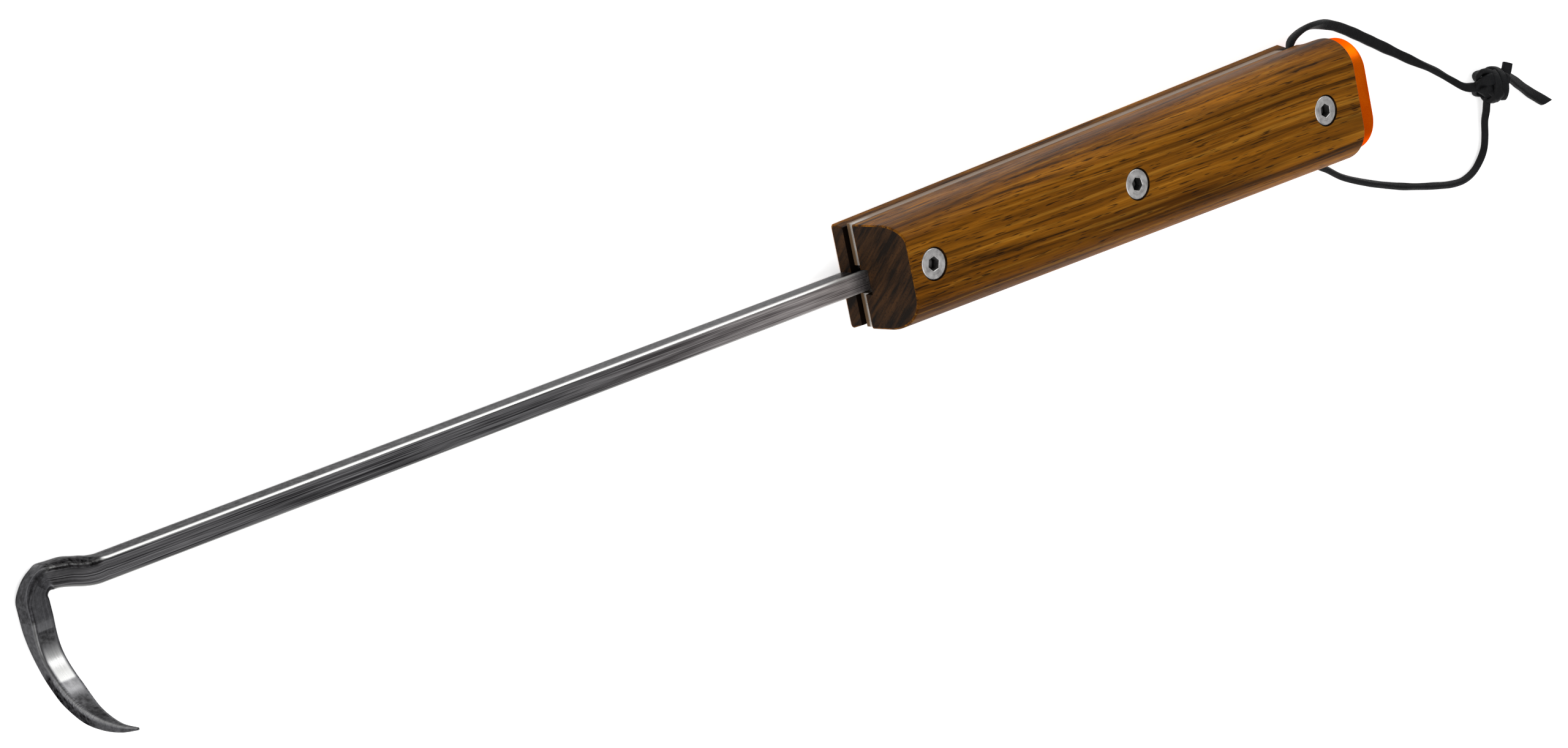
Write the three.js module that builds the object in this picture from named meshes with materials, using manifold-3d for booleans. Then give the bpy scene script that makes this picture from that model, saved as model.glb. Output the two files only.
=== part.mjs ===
// Long hook tool: a square steel bar with a forged hook, a two-part wooden handle over a
// steel plate, three socket screws in sleeve nuts, an anodised butt cap and a leather lace.
//
// Frame, in millimetres: the tool lies on the flat back of its handle.
// +X runs from the hook to the butt, +Y towards the spine of the handle, +Z up, out of the
// flat back. The origin is on the flat back, on the line of the screws, halfway between the
// first and the second screw.

import * as THREE from 'three';
import { mergeVertices } from 'three/addons/utils/BufferGeometryUtils.js';
import Module from 'manifold-3d';

const wasm = await Module();
wasm.setup();

// ---- driving dimensions -------------------------------------------------------------

const GAP = 0.3; // clearance between pieces that touch

// screws and sleeve nuts
const SCREW_COUNT = 3;
const SCREW_PITCH = 72.5;
const SCREW_HEAD_D = 8;
const SCREW_SHANK_D = 4;
const SCREW_SUNK = 0.35; // top of the head below the wood
const SCREW_RING = 0.45; // open ring round the head
const HEX_FLATS = 3.2;
const HEX_DEPTH = 1.9;
const NUT_D = 6;
const NUT_HEAD_D = 8.4;
const NUT_LENGTH = 10.6;
const NUT_FLOOR = 1.9; // solid thickness under the blind thread

// wooden handle: back scale, plate, front scale, stacked in Z
const WOOD_LENGTH = 166.2;
const FRONT_TO_SCREW = 7.6;
const BACK_T = 4.3;
const PLATE_T = 3;
const FRONT_T = 19.4;
const SPINE_AT_FRONT = 11.8;
const SPINE_AT_BUTT = 14.9;
const BELLY_AT_FRONT = 15.2;
const BELLY_AT_BUTT = 17.2;
const CROWN_AT_BUTT = 1.7; // how much the front scale's spine stands over the back scale's
const TOP_ROUND = { front: [4.7, 9.2], butt: [8.2, 8.6] }; // corner, in Y and in Z
const LOW_ROUND = { front: [8.8, 12.2], butt: [9.4, 10.4] };
const BACK_ROUND = 0.8;
const FRONT_EDGE = 0.4;
const BUTT_EDGE = 1.2;

// plate between the scales
const PLATE_SETBACK = 1.4; // from the front of the wood
const PLATE_INSET = 0.15; // below the spine and the belly of the wood
const LACE_CHANNEL = 5.6; // open slot behind the plate, for the lace

// bar and its tenon in the plate
const BAR_Y = 5.4;
const BAR_Z = 6.6;
const BAR_TOP = 6.9; // near face of the bar over the back
const BAR_CENTRE_Y = -3.2; // where it enters the handle
const BAR_RISE = 0.0067; // rise towards the spine for each millimetre of length
const BAR_ROUND = 1.0;
const TENON_T = 2;
const TENON_LENGTH = 3; // ends ahead of the first screw's nut
const SLOT_ABOVE = 1.4;
const SLOT_BELOW = 0.4;
const POCKET_DEPTH = 2.8; // relief for the bar in the front scale
const POCKET_LENGTH = 9;
const WELD_SETBACK = 0.4; // from the front of the plate

// kick, bend and hook
const FREE_BAR = 226; // from the handle to where the kick begins
const KICK_LENGTH = 12;
const KICK_RISE = 2.5;
const BEND_RADIUS = 4.4;
const HOOK_WIDTH = 6;
const HOOK_T = 3.7;
const HOOK_ROUND = 0.7;
const HOOK_LEAD = 3.3; // straight run between the bend and the hook's curve
const HOOK_TIP = 0.9;
// centre line of the hook, as [down, out] from the end of the straight run
const HOOK_LINE = [
  [0, 0], [3.4, 0], [7.2, 0.7], [11.0, 2.4], [14.6, 5.2], [18.0, 8.9], [20.9, 13.5],
  [22.4, 18.9], [22.9, 25.0], [22.3, 32.0],
];
const TAPER_START = 0.42; // share of the hook's length where the point begins
const HOOK_STEPS = 26;

// butt cap and its screws
const CAP_T = 5.6;
const CAP_INSET = 1.2;
const CAP_EDGE = 1.4;
const CAP_SCREW_Y = 8.5;
const CAP_SCREW_HEAD_D = 6.4;
const CAP_SCREW_D = 3.2;
const CAP_SCREW_LENGTH = 18;

// leather lace
const LACE_D = 2.5;
const LACE_X = 120.4; // where it runs through the channel
const KNOT_CENTRE = [200.5, -17.0, 4.4];
const KNOT_LENGTH = 12.5;
const KNOT_D = 8.4;
const KNOT_TURN = -0.27; // radians about Z, the knot's long axis

// ---- derived dimensions -------------------------------------------------------------

const PLATE_Z = BACK_T + GAP;
const FRONT_Z = PLATE_Z + PLATE_T + GAP;
const HANDLE_Z = FRONT_Z + FRONT_T;
const FIRST_SCREW_X = -SCREW_PITCH / 2;
const WOOD_X0 = FIRST_SCREW_X - FRONT_TO_SCREW;
const WOOD_X1 = WOOD_X0 + WOOD_LENGTH;
const PLATE_X0 = WOOD_X0 + PLATE_SETBACK;
const PLATE_X1 = WOOD_X1 - LACE_CHANNEL;
const LACE_Z = (BACK_T + FRONT_Z) / 2;
const SLOT_TOP = BAR_CENTRE_Y + BAR_Y / 2 + SLOT_ABOVE;
const SLOT_LOW = BAR_CENTRE_Y - BAR_Y / 2 - SLOT_BELOW;
const BAR_CENTRE_Z = BAR_TOP - BAR_Z / 2;
const TENON_END = WOOD_X0 + TENON_LENGTH;
const SLOT_END = TENON_END + GAP;

// ---- finishes -----------------------------------------------------------------------

const finish = (color, roughness, metalness) => () =>
  new THREE.MeshStandardMaterial({ color, roughness, metalness });
const STEEL = finish(0x6c6c6e, 0.32, 1);
const PLATE_STEEL = finish(0x9a9894, 0.4, 1);
const WELD = finish(0x77736e, 0.5, 1);
const WOOD = finish(0x8a5a2c, 0.55, 0);
const BRIGHT_STEEL = finish(0xb4b4b4, 0.3, 1);
const ORANGE = finish(0xd9530a, 0.35, 0.6);
const LEATHER = finish(0x15161a, 0.6, 0);

// ---- mesh and solid helpers -----------------------------------------------------------

const mix = (a, b, t) => a + (b - a) * t;
const smooth = (t) => THREE.MathUtils.smoothstep(t, 0, 1);

function bare(geometry) {
  const copy = geometry.clone();
  copy.deleteAttribute('normal');
  copy.deleteAttribute('uv');
  return mergeVertices(copy, 1e-4);
}

function solidOf(geometry) {
  const merged = bare(geometry);
  const mesh = new wasm.Mesh({
    numProp: 3,
    vertProperties: Float32Array.from(merged.attributes.position.array),
    triVerts: Uint32Array.from(merged.index.array),
  });
  return new wasm.Manifold(mesh);
}

function geometryOf(solid) {
  const mesh = solid.getMesh();
  const geometry = new THREE.BufferGeometry();
  geometry.setAttribute('position', new THREE.BufferAttribute(mesh.vertProperties, 3));
  geometry.setIndex(new THREE.BufferAttribute(mesh.triVerts, 1));
  geometry.computeVertexNormals();
  return geometry;
}

function cut(geometry, tools) {
  const solid = tools.reduce((left, tool) => left.subtract(solidOf(tool)), solidOf(geometry));
  return geometryOf(solid);
}

// Closed body through loops of the same number of points, with flat ends.
function loft(loops) {
  const count = loops[0].length;
  const points = loops.flat();
  const faces = [];
  for (let s = 0; s + 1 < loops.length; s += 1) {
    for (let i = 0; i < count; i += 1) {
      const a = s * count + i;
      const b = s * count + ((i + 1) % count);
      faces.push(a, b, a + count, b, b + count, a + count);
    }
  }
  const end = (loopIndex, flip) => {
    const centre = new THREE.Vector3();
    loops[loopIndex].forEach((p) => centre.addScaledVector(p, 1 / count));
    const hub = points.push(centre) - 1;
    for (let i = 0; i < count; i += 1) {
      const a = loopIndex * count + i;
      const b = loopIndex * count + ((i + 1) % count);
      faces.push(hub, flip ? b : a, flip ? a : b);
    }
  };
  end(0, true);
  end(loops.length - 1, false);
  const geometry = new THREE.BufferGeometry().setFromPoints(points);
  geometry.setIndex(volumeOf(points, faces) < 0 ? faces.reverse() : faces);
  geometry.computeVertexNormals();
  return geometry;
}

function volumeOf(points, faces) {
  let sum = 0;
  for (let i = 0; i < faces.length; i += 3) {
    const [a, b, c] = [points[faces[i]], points[faces[i + 1]], points[faces[i + 2]]];
    sum += a.dot(new THREE.Vector3().crossVectors(b, c));
  }
  return sum / 6;
}

// Solid of revolution about Z from [radius, z] pairs, set at x, y.
function turned(pairs, x, y, sides = 28) {
  const profile = pairs.map(([r, z]) => new THREE.Vector2(r, z));
  const geometry = new THREE.LatheGeometry(profile, sides);
  geometry.rotateX(Math.PI / 2);
  geometry.translate(x, y, 0);
  return outward(geometry);
}

function outward(geometry) {
  const merged = bare(geometry);
  const place = merged.attributes.position;
  const points = [];
  for (let i = 0; i < place.count; i += 1) {
    points.push(new THREE.Vector3().fromBufferAttribute(place, i));
  }
  const faces = Array.from(merged.index.array);
  if (volumeOf(points, faces) < 0) {
    merged.setIndex(faces.reverse());
  }
  merged.computeVertexNormals();
  return merged;
}

// Points of a circle about x on the X axis, without a repeated last point.
function ringPoints(x, radius, sides) {
  return Array.from({ length: sides }, (_, i) => {
    const angle = (i / sides) * 2 * Math.PI;
    return new THREE.Vector2(x + radius * Math.cos(angle), radius * Math.sin(angle));
  });
}

function block(x0, x1, y0, y1, z0, z1) {
  const geometry = new THREE.BoxGeometry(x1 - x0, y1 - y0, z1 - z0);
  geometry.translate((x0 + x1) / 2, (y0 + y1) / 2, (z0 + z1) / 2);
  return geometry;
}

// ---- handle sections ------------------------------------------------------------------

const along = (x) => (x - WOOD_X0) / WOOD_LENGTH;
const spineAt = (x) => mix(SPINE_AT_FRONT, SPINE_AT_BUTT, along(x));
const bellyAt = (x) => mix(BELLY_AT_FRONT, BELLY_AT_BUTT, along(x));
const cornerAt = (corner, x) => [0, 1].map((i) => mix(corner.front[i], corner.butt[i], along(x)));

// Outline across the handle at x from z0 to HANDLE_Z, drawn in by an inset, as points.
function handleLoop(x, z0, inset, lowRound) {
  const spine = spineAt(x) - inset;
  const crown = CROWN_AT_BUTT * Math.max(0, along(x));
  const belly = -bellyAt(x) + inset;
  const top = HANDLE_Z - inset;
  const low = z0 + inset;
  const [topY, topZ] = cornerAt(TOP_ROUND, x);
  const [lowY, lowZ] = cornerAt(LOW_ROUND, x);
  const pairs = [];
  const arc = (cy, cz, ry, rz, from, to, steps) => {
    for (let i = 0; i <= steps; i += 1) {
      const angle = mix(from, to, i / steps);
      pairs.push([cy + ry * Math.cos(angle), cz + rz * Math.sin(angle)]);
    }
  };
  const quarter = Math.PI / 2;
  arc(spine - lowRound, low + lowRound, lowRound, lowRound, -quarter, 0, 3);
  for (const share of [0.3, 0.65]) {
    pairs.push([spine + crown * smooth(share), mix(low, top - topZ, share)]);
  }
  arc(spine + crown - topY, top - topZ, topY, topZ, 0, quarter, 10);
  arc(belly + lowY, top - lowZ, lowY, lowZ, quarter, 2 * quarter, 12);
  arc(belly + lowRound, low + lowRound, lowRound, lowRound, 2 * quarter, 3 * quarter, 3);
  return pairs.map(([y, z]) => new THREE.Vector3(x, y, z));
}

function backLoop(x, inset) {
  const spine = spineAt(x) - inset;
  const belly = -bellyAt(x) + inset;
  const low = inset;
  const r = BACK_ROUND;
  const pairs = [[spine, BACK_T], [belly, BACK_T]];
  for (let i = 0; i <= 3; i += 1) {
    const angle = (i / 3) * (Math.PI / 2);
    pairs.push([belly + r * (1 - Math.cos(angle)), low + r * (1 - Math.sin(angle))]);
  }
  for (let i = 0; i <= 3; i += 1) {
    const angle = (i / 3) * (Math.PI / 2);
    pairs.push([spine - r * (1 - Math.sin(angle)), low + r * (1 - Math.cos(angle))]);
  }
  return pairs.map(([y, z]) => new THREE.Vector3(x, y, z));
}

// Stations along the wood, as [x, inset], with a small break at the front and at the butt.
const WOOD_STATIONS = [
  [WOOD_X0, FRONT_EDGE],
  [WOOD_X0 + FRONT_EDGE, 0],
  [mix(WOOD_X0, WOOD_X1, 0.33), 0],
  [mix(WOOD_X0, WOOD_X1, 0.67), 0],
  [WOOD_X1 - BUTT_EDGE, 0],
  [WOOD_X1 - BUTT_EDGE * 0.3, BUTT_EDGE * 0.3],
  [WOOD_X1, BUTT_EDGE],
];

const screwX = (index) => FIRST_SCREW_X + index * SCREW_PITCH;
const screwPlaces = Array.from({ length: SCREW_COUNT }, (_, index) => screwX(index));

// ---- fasteners --------------------------------------------------------------------------

const headTop = HANDLE_Z - SCREW_SUNK;
const headR = SCREW_HEAD_D / 2;
const shankR = SCREW_SHANK_D / 2;
const nutR = NUT_D / 2;
const nutHeadR = NUT_HEAD_D / 2;
const NUT_LOW = 0.35;
const HEAD_LAND = 0.35;

function screwGeometry(x) {
  const tip = NUT_LOW + NUT_FLOOR + 2 * GAP;
  const body = turned([
    [0, headTop], [headR - 0.25, headTop], [headR, headTop - 0.25],
    [headR, headTop - HEAD_LAND], [shankR, headTop - HEAD_LAND - (headR - shankR)],
    [shankR, tip + 0.5], [shankR - 0.5, tip], [0, tip],
  ], x, 0);
  const socket = new THREE.CylinderGeometry(HEX_FLATS / Math.sqrt(3), HEX_FLATS / Math.sqrt(3), 4, 6);
  socket.rotateX(Math.PI / 2);
  socket.translate(x, 0, headTop - HEX_DEPTH + 2);
  return cut(body, [socket]);
}

function nutGeometry(x) {
  const open = shankR + GAP;
  return turned([
    [0, NUT_LOW], [nutHeadR, NUT_LOW], [nutHeadR, NUT_LOW + 0.4],
    [nutR, NUT_LOW + 0.4 + nutHeadR - nutR], [nutR, NUT_LOW + NUT_LENGTH],
    [open, NUT_LOW + NUT_LENGTH], [open, NUT_LOW + NUT_FLOOR], [0, NUT_LOW + NUT_FLOOR],
  ], x, 0);
}

// Everything that a screw and its nut need removed, as one turned tool.
function screwHole(x) {
  const ring = headR + SCREW_RING;
  const bore = shankR + GAP;
  const sleeve = nutR + GAP;
  const foot = nutHeadR + GAP;
  const coneTop = headTop - HEAD_LAND;
  const nutTop = NUT_LOW + NUT_LENGTH + GAP;
  return turned([
    [0, -1], [foot, -1], [foot, NUT_LOW + 0.5], [sleeve, NUT_LOW + 0.5 + foot - sleeve],
    [sleeve, nutTop], [bore, nutTop], [bore, coneTop - (ring - bore)], [ring, coneTop],
    [ring, HANDLE_Z + 1], [0, HANDLE_Z + 1],
  ], x, 0);
}

function capScrewGeometry(y) {
  const r = CAP_SCREW_HEAD_D / 2;
  const thin = CAP_SCREW_D / 2;
  const top = WOOD_X1 + GAP + CAP_T - 0.3;
  const tip = top - CAP_SCREW_LENGTH;
  const body = turned([
    [0, top], [r, top], [r, top - 0.3], [thin, top - 0.3 - (r - thin)],
    [thin, tip + 2.4], [0.3, tip], [0, tip],
  ], 0, 0, 20);
  const across = new THREE.CylinderGeometry(1.2, 1.2, 3, 6);
  across.rotateX(Math.PI / 2);
  across.translate(0, 0, top);
  return layAlongX(cut(body, [across]), y);
}

function capScrewHole(y) {
  const r = CAP_SCREW_HEAD_D / 2 + GAP;
  const thin = CAP_SCREW_D / 2 + GAP;
  const top = WOOD_X1 + GAP + CAP_T;
  const cone = top - 0.6;
  return layAlongX(turned([
    [0, top - CAP_SCREW_LENGTH - 1], [thin, top - CAP_SCREW_LENGTH - 1],
    [thin, cone - (r - thin)], [r, cone], [r, top + 1], [0, top + 1],
  ], 0, 0, 20), y);
}

// Turns a piece made along Z to lie along X, at a height in the middle of the cap.
function layAlongX(geometry, y) {
  const lying = geometry.clone();
  lying.rotateY(Math.PI / 2);
  lying.translate(0, y, HANDLE_Z / 2);
  return lying;
}

// ---- handle pieces ------------------------------------------------------------------------

function frontScale() {
  const loops = WOOD_STATIONS.map(([x, inset]) =>
    handleLoop(x, FRONT_Z - inset, inset, BACK_ROUND * 0.5));
  const pocket = block(
    WOOD_X0 - 1, WOOD_X0 + POCKET_LENGTH, SLOT_LOW, SLOT_TOP - SLOT_ABOVE / 2,
    FRONT_Z - 1, FRONT_Z + POCKET_DEPTH,
  );
  return cut(loft(loops), [
    ...screwPlaces.map(screwHole), pocket, capScrewHole(CAP_SCREW_Y), capScrewHole(-CAP_SCREW_Y),
  ]);
}

function backScale() {
  const loops = WOOD_STATIONS.map(([x, inset]) => backLoop(x, inset));
  return cut(loft(loops), screwPlaces.map(screwHole));
}

function tangPlate() {
  const outline = new THREE.Shape();
  const corner = (x, side) => (side > 0 ? spineAt(x) - PLATE_INSET : -bellyAt(x) + PLATE_INSET);
  outline.moveTo(PLATE_X0, SLOT_TOP);
  outline.lineTo(PLATE_X0, corner(PLATE_X0, 1));
  outline.lineTo(PLATE_X1, corner(PLATE_X1, 1));
  outline.lineTo(PLATE_X1, corner(PLATE_X1, -1));
  outline.lineTo(PLATE_X0, corner(PLATE_X0, -1));
  outline.lineTo(PLATE_X0, SLOT_LOW);
  outline.lineTo(SLOT_END, SLOT_LOW);
  outline.lineTo(SLOT_END, SLOT_TOP);
  for (const x of screwPlaces) {
    outline.holes.push(new THREE.Path(ringPoints(x, nutR + GAP, 24)));
  }
  const geometry = new THREE.ExtrudeGeometry(outline, { depth: PLATE_T, bevelEnabled: false });
  geometry.translate(0, 0, PLATE_Z);
  return outward(geometry);
}

// Weld bead between the top of the tenon and the plate's slot.
function weldBead() {
  const y0 = BAR_CENTRE_Y + BAR_Y / 2 + GAP;
  const x0 = PLATE_X0 + WELD_SETBACK;
  return block(x0, TENON_END, y0, SLOT_TOP - GAP, BAR_TOP - TENON_T, BAR_TOP);
}

function capLoop(x, inset) {
  return handleLoop(WOOD_X1, 0, inset, 2.2).map((p) => new THREE.Vector3(x, p.y, p.z));
}

function buttCap() {
  const x0 = WOOD_X1 + GAP;
  const stations = [[0, 0.25], [0.25, 0], [CAP_T - CAP_EDGE, 0]];
  for (const share of [0.35, 0.7, 1]) {
    const angle = share * (Math.PI / 2);
    stations.push([CAP_T - CAP_EDGE * (1 - Math.sin(angle)), CAP_EDGE * (1 - Math.cos(angle))]);
  }
  const loops = stations.map(([dx, inset]) => capLoop(x0 + dx, CAP_INSET + inset));
  return cut(loft(loops), [capScrewHole(CAP_SCREW_Y), capScrewHole(-CAP_SCREW_Y)]);
}

// ---- bar and hook ---------------------------------------------------------------------------

// Rounded rectangle of half sizes a and b, in a frame of unit vectors A and B.
function barLoop(centre, A, B, a, b, round) {
  const loop = [];
  for (let corner = 0; corner < 4; corner += 1) {
    const signA = corner === 0 || corner === 3 ? 1 : -1;
    const signB = corner < 2 ? 1 : -1;
    for (let i = 0; i <= 3; i += 1) {
      const angle = ((corner + i / 3) * Math.PI) / 2;
      const pa = signA * (a - round) + round * Math.cos(angle);
      const pb = signB * (b - round) + round * Math.sin(angle);
      loop.push(centre.clone().addScaledVector(A, pa).addScaledVector(B, pb));
    }
  }
  return loop;
}

// Line of the bar's centre in X and Y up to the bend, as a height for each x.
const kickStart = WOOD_X0 - FREE_BAR;
const bendX = kickStart - KICK_LENGTH;
const barLine = (x) => BAR_CENTRE_Y - BAR_RISE * (x - WOOD_X0)
  + KICK_RISE * smooth((kickStart - x) / KICK_LENGTH);

function barStations() {
  const stations = [];
  const add = (x) => {
    const slope = (barLine(x + 0.01) - barLine(x - 0.01)) / 0.02;
    const T = new THREE.Vector3(-1, -slope, 0).normalize();
    stations.push({ at: new THREE.Vector3(x, barLine(x), BAR_CENTRE_Z), T, size: 0 });
  };
  [TENON_END, WOOD_X0, mix(WOOD_X0, kickStart, 0.5), kickStart].forEach(add);
  for (let i = 1; i <= 6; i += 1) {
    add(kickStart - (KICK_LENGTH * i) / 6);
  }
  return stations;
}

function bendStations() {
  const stations = [];
  const steps = 7;
  const centre = new THREE.Vector3(bendX, barLine(bendX) - BEND_RADIUS, BAR_CENTRE_Z);
  for (let i = 1; i <= steps; i += 1) {
    const angle = (i / steps) * (Math.PI / 2);
    const out = new THREE.Vector3(-Math.sin(angle), Math.cos(angle), 0);
    stations.push({
      at: centre.clone().addScaledVector(out, BEND_RADIUS),
      T: new THREE.Vector3(-Math.cos(angle), -Math.sin(angle), 0),
      size: smooth(i / steps),
    });
  }
  return stations;
}

function hookStations() {
  const x = bendX - BEND_RADIUS;
  const y0 = barLine(bendX) - BEND_RADIUS - HOOK_LEAD;
  const line = new THREE.CatmullRomCurve3(
    HOOK_LINE.map(([down, out]) => new THREE.Vector3(x, y0 - down, BAR_CENTRE_Z + out)),
    false, 'centripetal',
  );
  const stations = [];
  for (let i = 0; i <= HOOK_STEPS; i += 1) {
    const share = i / HOOK_STEPS;
    const taper = Math.max(0, (share - TAPER_START) / (1 - TAPER_START));
    stations.push({ at: line.getPointAt(share), T: line.getTangentAt(share), size: 1, taper });
  }
  return stations;
}

function hookShank() {
  const minusX = new THREE.Vector3(-1, 0, 0);
  const stations = [...barStations(), ...bendStations(), ...hookStations()];
  const loops = stations.map(({ at, T, size, taper = 0 }) => {
    const inHook = size === 1;
    const A = inHook ? minusX : new THREE.Vector3(T.y, -T.x, 0);
    const B = new THREE.Vector3().crossVectors(A, T);
    const wide = mix(BAR_Y, HOOK_WIDTH, size);
    const thick = mix(BAR_Z, HOOK_T, size);
    const a = mix(wide, HOOK_TIP, smooth(taper) * 0.35 + taper * 0.65) / 2;
    const b = mix(thick, HOOK_TIP * 0.8, taper ** 1.4) / 2;
    const round = Math.min(mix(BAR_ROUND, HOOK_ROUND, size), 0.45 * a, 0.45 * b);
    return barLoop(at, A, B, a, b, round);
  });
  const shoulder = block(
    WOOD_X0 - GAP, TENON_END + 1, BAR_CENTRE_Y - BAR_Y, BAR_CENTRE_Y + BAR_Y,
    BAR_TOP - BAR_Z - 1, BAR_TOP - TENON_T,
  );
  return cut(loft(loops), [shoulder]);
}

// ---- lace ---------------------------------------------------------------------------------

const LACE_UPPER = [
  [LACE_X, 0.3, LACE_Z], [LACE_X, 7, LACE_Z], [120.8, 12.4, LACE_Z], [121.1, 14.3, 6.1],
  [122.3, 16.0, 6.1], [126.0, 17.4, 5.9], [131.0, 17.8, 5.4], [136.6, 16.9, 4.4],
  [142.4, 15.0, 3.4],
  [148.2, 12.2, 2.6], [156.7, 7.3, 1.8], [166.1, 1.5, 1.5], [174.0, -3.4, 1.5],
  [180.9, -7.6, 1.6], [187.0, -12.2, 2.0], [190.8, -15.1, 2.8], [193.3, -15.9, 3.6],
];
const LACE_LOWER = [
  [LACE_X, -0.3, LACE_Z], [LACE_X, -8, LACE_Z], [120.6, -15.2, LACE_Z], [123.0, -18.8, 5.9],
  [128.2, -21.9, 5.0], [135.0, -25.9, 3.4], [145.6, -30.5, 2.0], [155.7, -34.2, 1.5],
  [164.0, -36.8, 1.5], [173.0, -39.1, 1.5], [180.0, -40.6, 1.5], [185.2, -40.9, 1.5],
  [189.9, -39.7, 1.5], [193.5, -37.3, 1.5], [196.0, -34.5, 1.5], [197.2, -31.0, 1.6],
  [197.7, -26.8, 2.0], [198.0, -24.0, 2.9], [198.4, -21.3, 3.4],
];
const LACE_TAIL = [
  [207.6, -18.6, 3.3], [213.4, -20.4, 1.9], [218.2, -23.0, 1.5], [222.2, -26.0, 1.5],
  [226.0, -28.6, 1.5],
];
const LACE_STUB = [[206.7, -14.9, 4.9], [207.4, -13.7, 4.9], [208.0, -12.6, 4.9]];

function tube(points, steps, sides = 8) {
  const path = new THREE.CatmullRomCurve3(
    points.map((p) => new THREE.Vector3(...p)), false, 'centripetal',
  );
  const round = new THREE.Shape(ringPoints(0, LACE_D / 2, sides));
  return outward(new THREE.ExtrudeGeometry(round, { steps, extrudePath: path, bevelEnabled: false }));
}

function knot() {
  const profile = [];
  for (let i = 0; i <= 8; i += 1) {
    const angle = (i / 8) * Math.PI;
    profile.push([(KNOT_D / 2) * Math.sin(angle) ** 0.7, (-KNOT_LENGTH / 2) * Math.cos(angle)]);
  }
  profile[0][0] = 0;
  profile[8][0] = 0;
  const geometry = turned(profile, 0, 0, 14);
  geometry.rotateY(Math.PI / 2);
  geometry.rotateZ(KNOT_TURN);
  geometry.translate(...KNOT_CENTRE);
  return geometry;
}

// ---- assembly --------------------------------------------------------------------------------

const tool = new THREE.Group();

function place(name, geometry, material) {
  const mesh = new THREE.Mesh(geometry, material());
  mesh.name = name;
  tool.add(mesh);
}

place('hook_shank', hookShank(), STEEL);
place('tang_plate', tangPlate(), PLATE_STEEL);
place('weld_bead', weldBead(), WELD);
place('front_scale', frontScale(), WOOD);
place('back_scale', backScale(), WOOD);
screwPlaces.forEach((x, index) => {
  place(`handle_screw_${index + 1}`, screwGeometry(x), BRIGHT_STEEL);
  place(`sleeve_nut_${index + 1}`, nutGeometry(x), BRIGHT_STEEL);
});
place('butt_cap', buttCap(), ORANGE);
[CAP_SCREW_Y, -CAP_SCREW_Y].forEach((y, index) => {
  place(`cap_screw_${index + 1}`, capScrewGeometry(y), BRIGHT_STEEL);
});
place('lace_upper', tube(LACE_UPPER, 34), LEATHER);
place('lace_lower', tube(LACE_LOWER, 40), LEATHER);
place('lace_knot', knot(), LEATHER);
place('lace_tail', tube(LACE_TAIL, 6), LEATHER);
place('lace_stub', tube(LACE_STUB, 2), LEATHER);

export default tool;
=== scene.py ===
import logging
import math
from dataclasses import dataclass, field
from enum import Enum
from functools import partial
from typing import Any, Callable, Sequence

import bpy
import numpy as np
from mathutils import Matrix, Vector


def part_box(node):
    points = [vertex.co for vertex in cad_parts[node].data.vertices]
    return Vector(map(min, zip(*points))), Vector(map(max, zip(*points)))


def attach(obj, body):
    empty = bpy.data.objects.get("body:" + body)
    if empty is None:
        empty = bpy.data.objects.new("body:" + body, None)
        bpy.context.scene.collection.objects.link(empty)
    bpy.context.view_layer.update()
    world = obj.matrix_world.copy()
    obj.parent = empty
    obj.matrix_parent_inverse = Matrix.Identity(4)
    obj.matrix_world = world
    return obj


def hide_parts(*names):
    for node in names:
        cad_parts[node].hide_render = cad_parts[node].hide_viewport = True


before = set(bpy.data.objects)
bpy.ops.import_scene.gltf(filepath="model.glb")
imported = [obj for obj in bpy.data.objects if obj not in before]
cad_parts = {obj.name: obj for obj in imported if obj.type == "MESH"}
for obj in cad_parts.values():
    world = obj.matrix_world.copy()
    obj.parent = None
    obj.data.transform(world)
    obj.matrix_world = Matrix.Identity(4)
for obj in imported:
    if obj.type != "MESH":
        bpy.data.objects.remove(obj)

log = logging.getLogger("hook_tool")

MM = 0.001
ROOT = "root"
CLEAR = 2.0  # millimetres by which a cutting tool runs past the face it opens
POINT = 0.02  # least radius of a ring, so that none shrinks to nothing
COLOUR = {"output": 2, "data_type": "RGBA"}  # what makes a Mix node blend colours

Array = np.ndarray
Material = bpy.types.Material
Object = bpy.types.Object
Socket = bpy.types.NodeSocket
Pair = tuple[float, float]
Triple = tuple[float, float, float]
Keys = Sequence[Pair]


# ---- small helpers -------------------------------------------------------------------


def linear(hex_colour: str) -> tuple[float, float, float, float]:
    """Turns an sRGB hex colour to a linear one.

    Args:
        hex_colour: Six hex digits with a leading hash.

    Returns:
        Linear red, green, blue and an alpha of one.
    """
    raw = [int(hex_colour[i : i + 2], 16) / 255 for i in (1, 3, 5)]
    made = [c / 12.92 if c <= 0.04045 else ((c + 0.055) / 1.055) ** 2.4 for c in raw]
    return (made[0], made[1], made[2], 1.0)


def mix(a: Any, b: Any, t: Any) -> Any:
    """Straight blend of a and b by t."""
    return a + (b - a) * t


def smooth(t: Any) -> Any:
    """Smooth step of t from 0 to 1, flat at both ends."""
    t = np.clip(t, 0.0, 1.0)
    return t * t * (3 - 2 * t)


def keyed(at: Array, keys: Keys) -> Array:
    """Value at each place, smoothly stepped between keyed values.

    Args:
        at: Places.
        keys: Pairs of place and value, in rising order of place.

    Returns:
        One value for each place.
    """
    places, values = np.array(keys, float).T
    i = np.clip(np.searchsorted(places, at, side="right") - 1, 0, len(keys) - 2)
    return mix(values[i], values[i + 1], smooth((at - places[i]) / (places[i + 1] - places[i])))


def lengths(line: Array) -> Array:
    """Distance along a line to each of its points."""
    return np.concatenate([[0], np.cumsum(np.linalg.norm(np.diff(line, axis=0), axis=1))])


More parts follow.
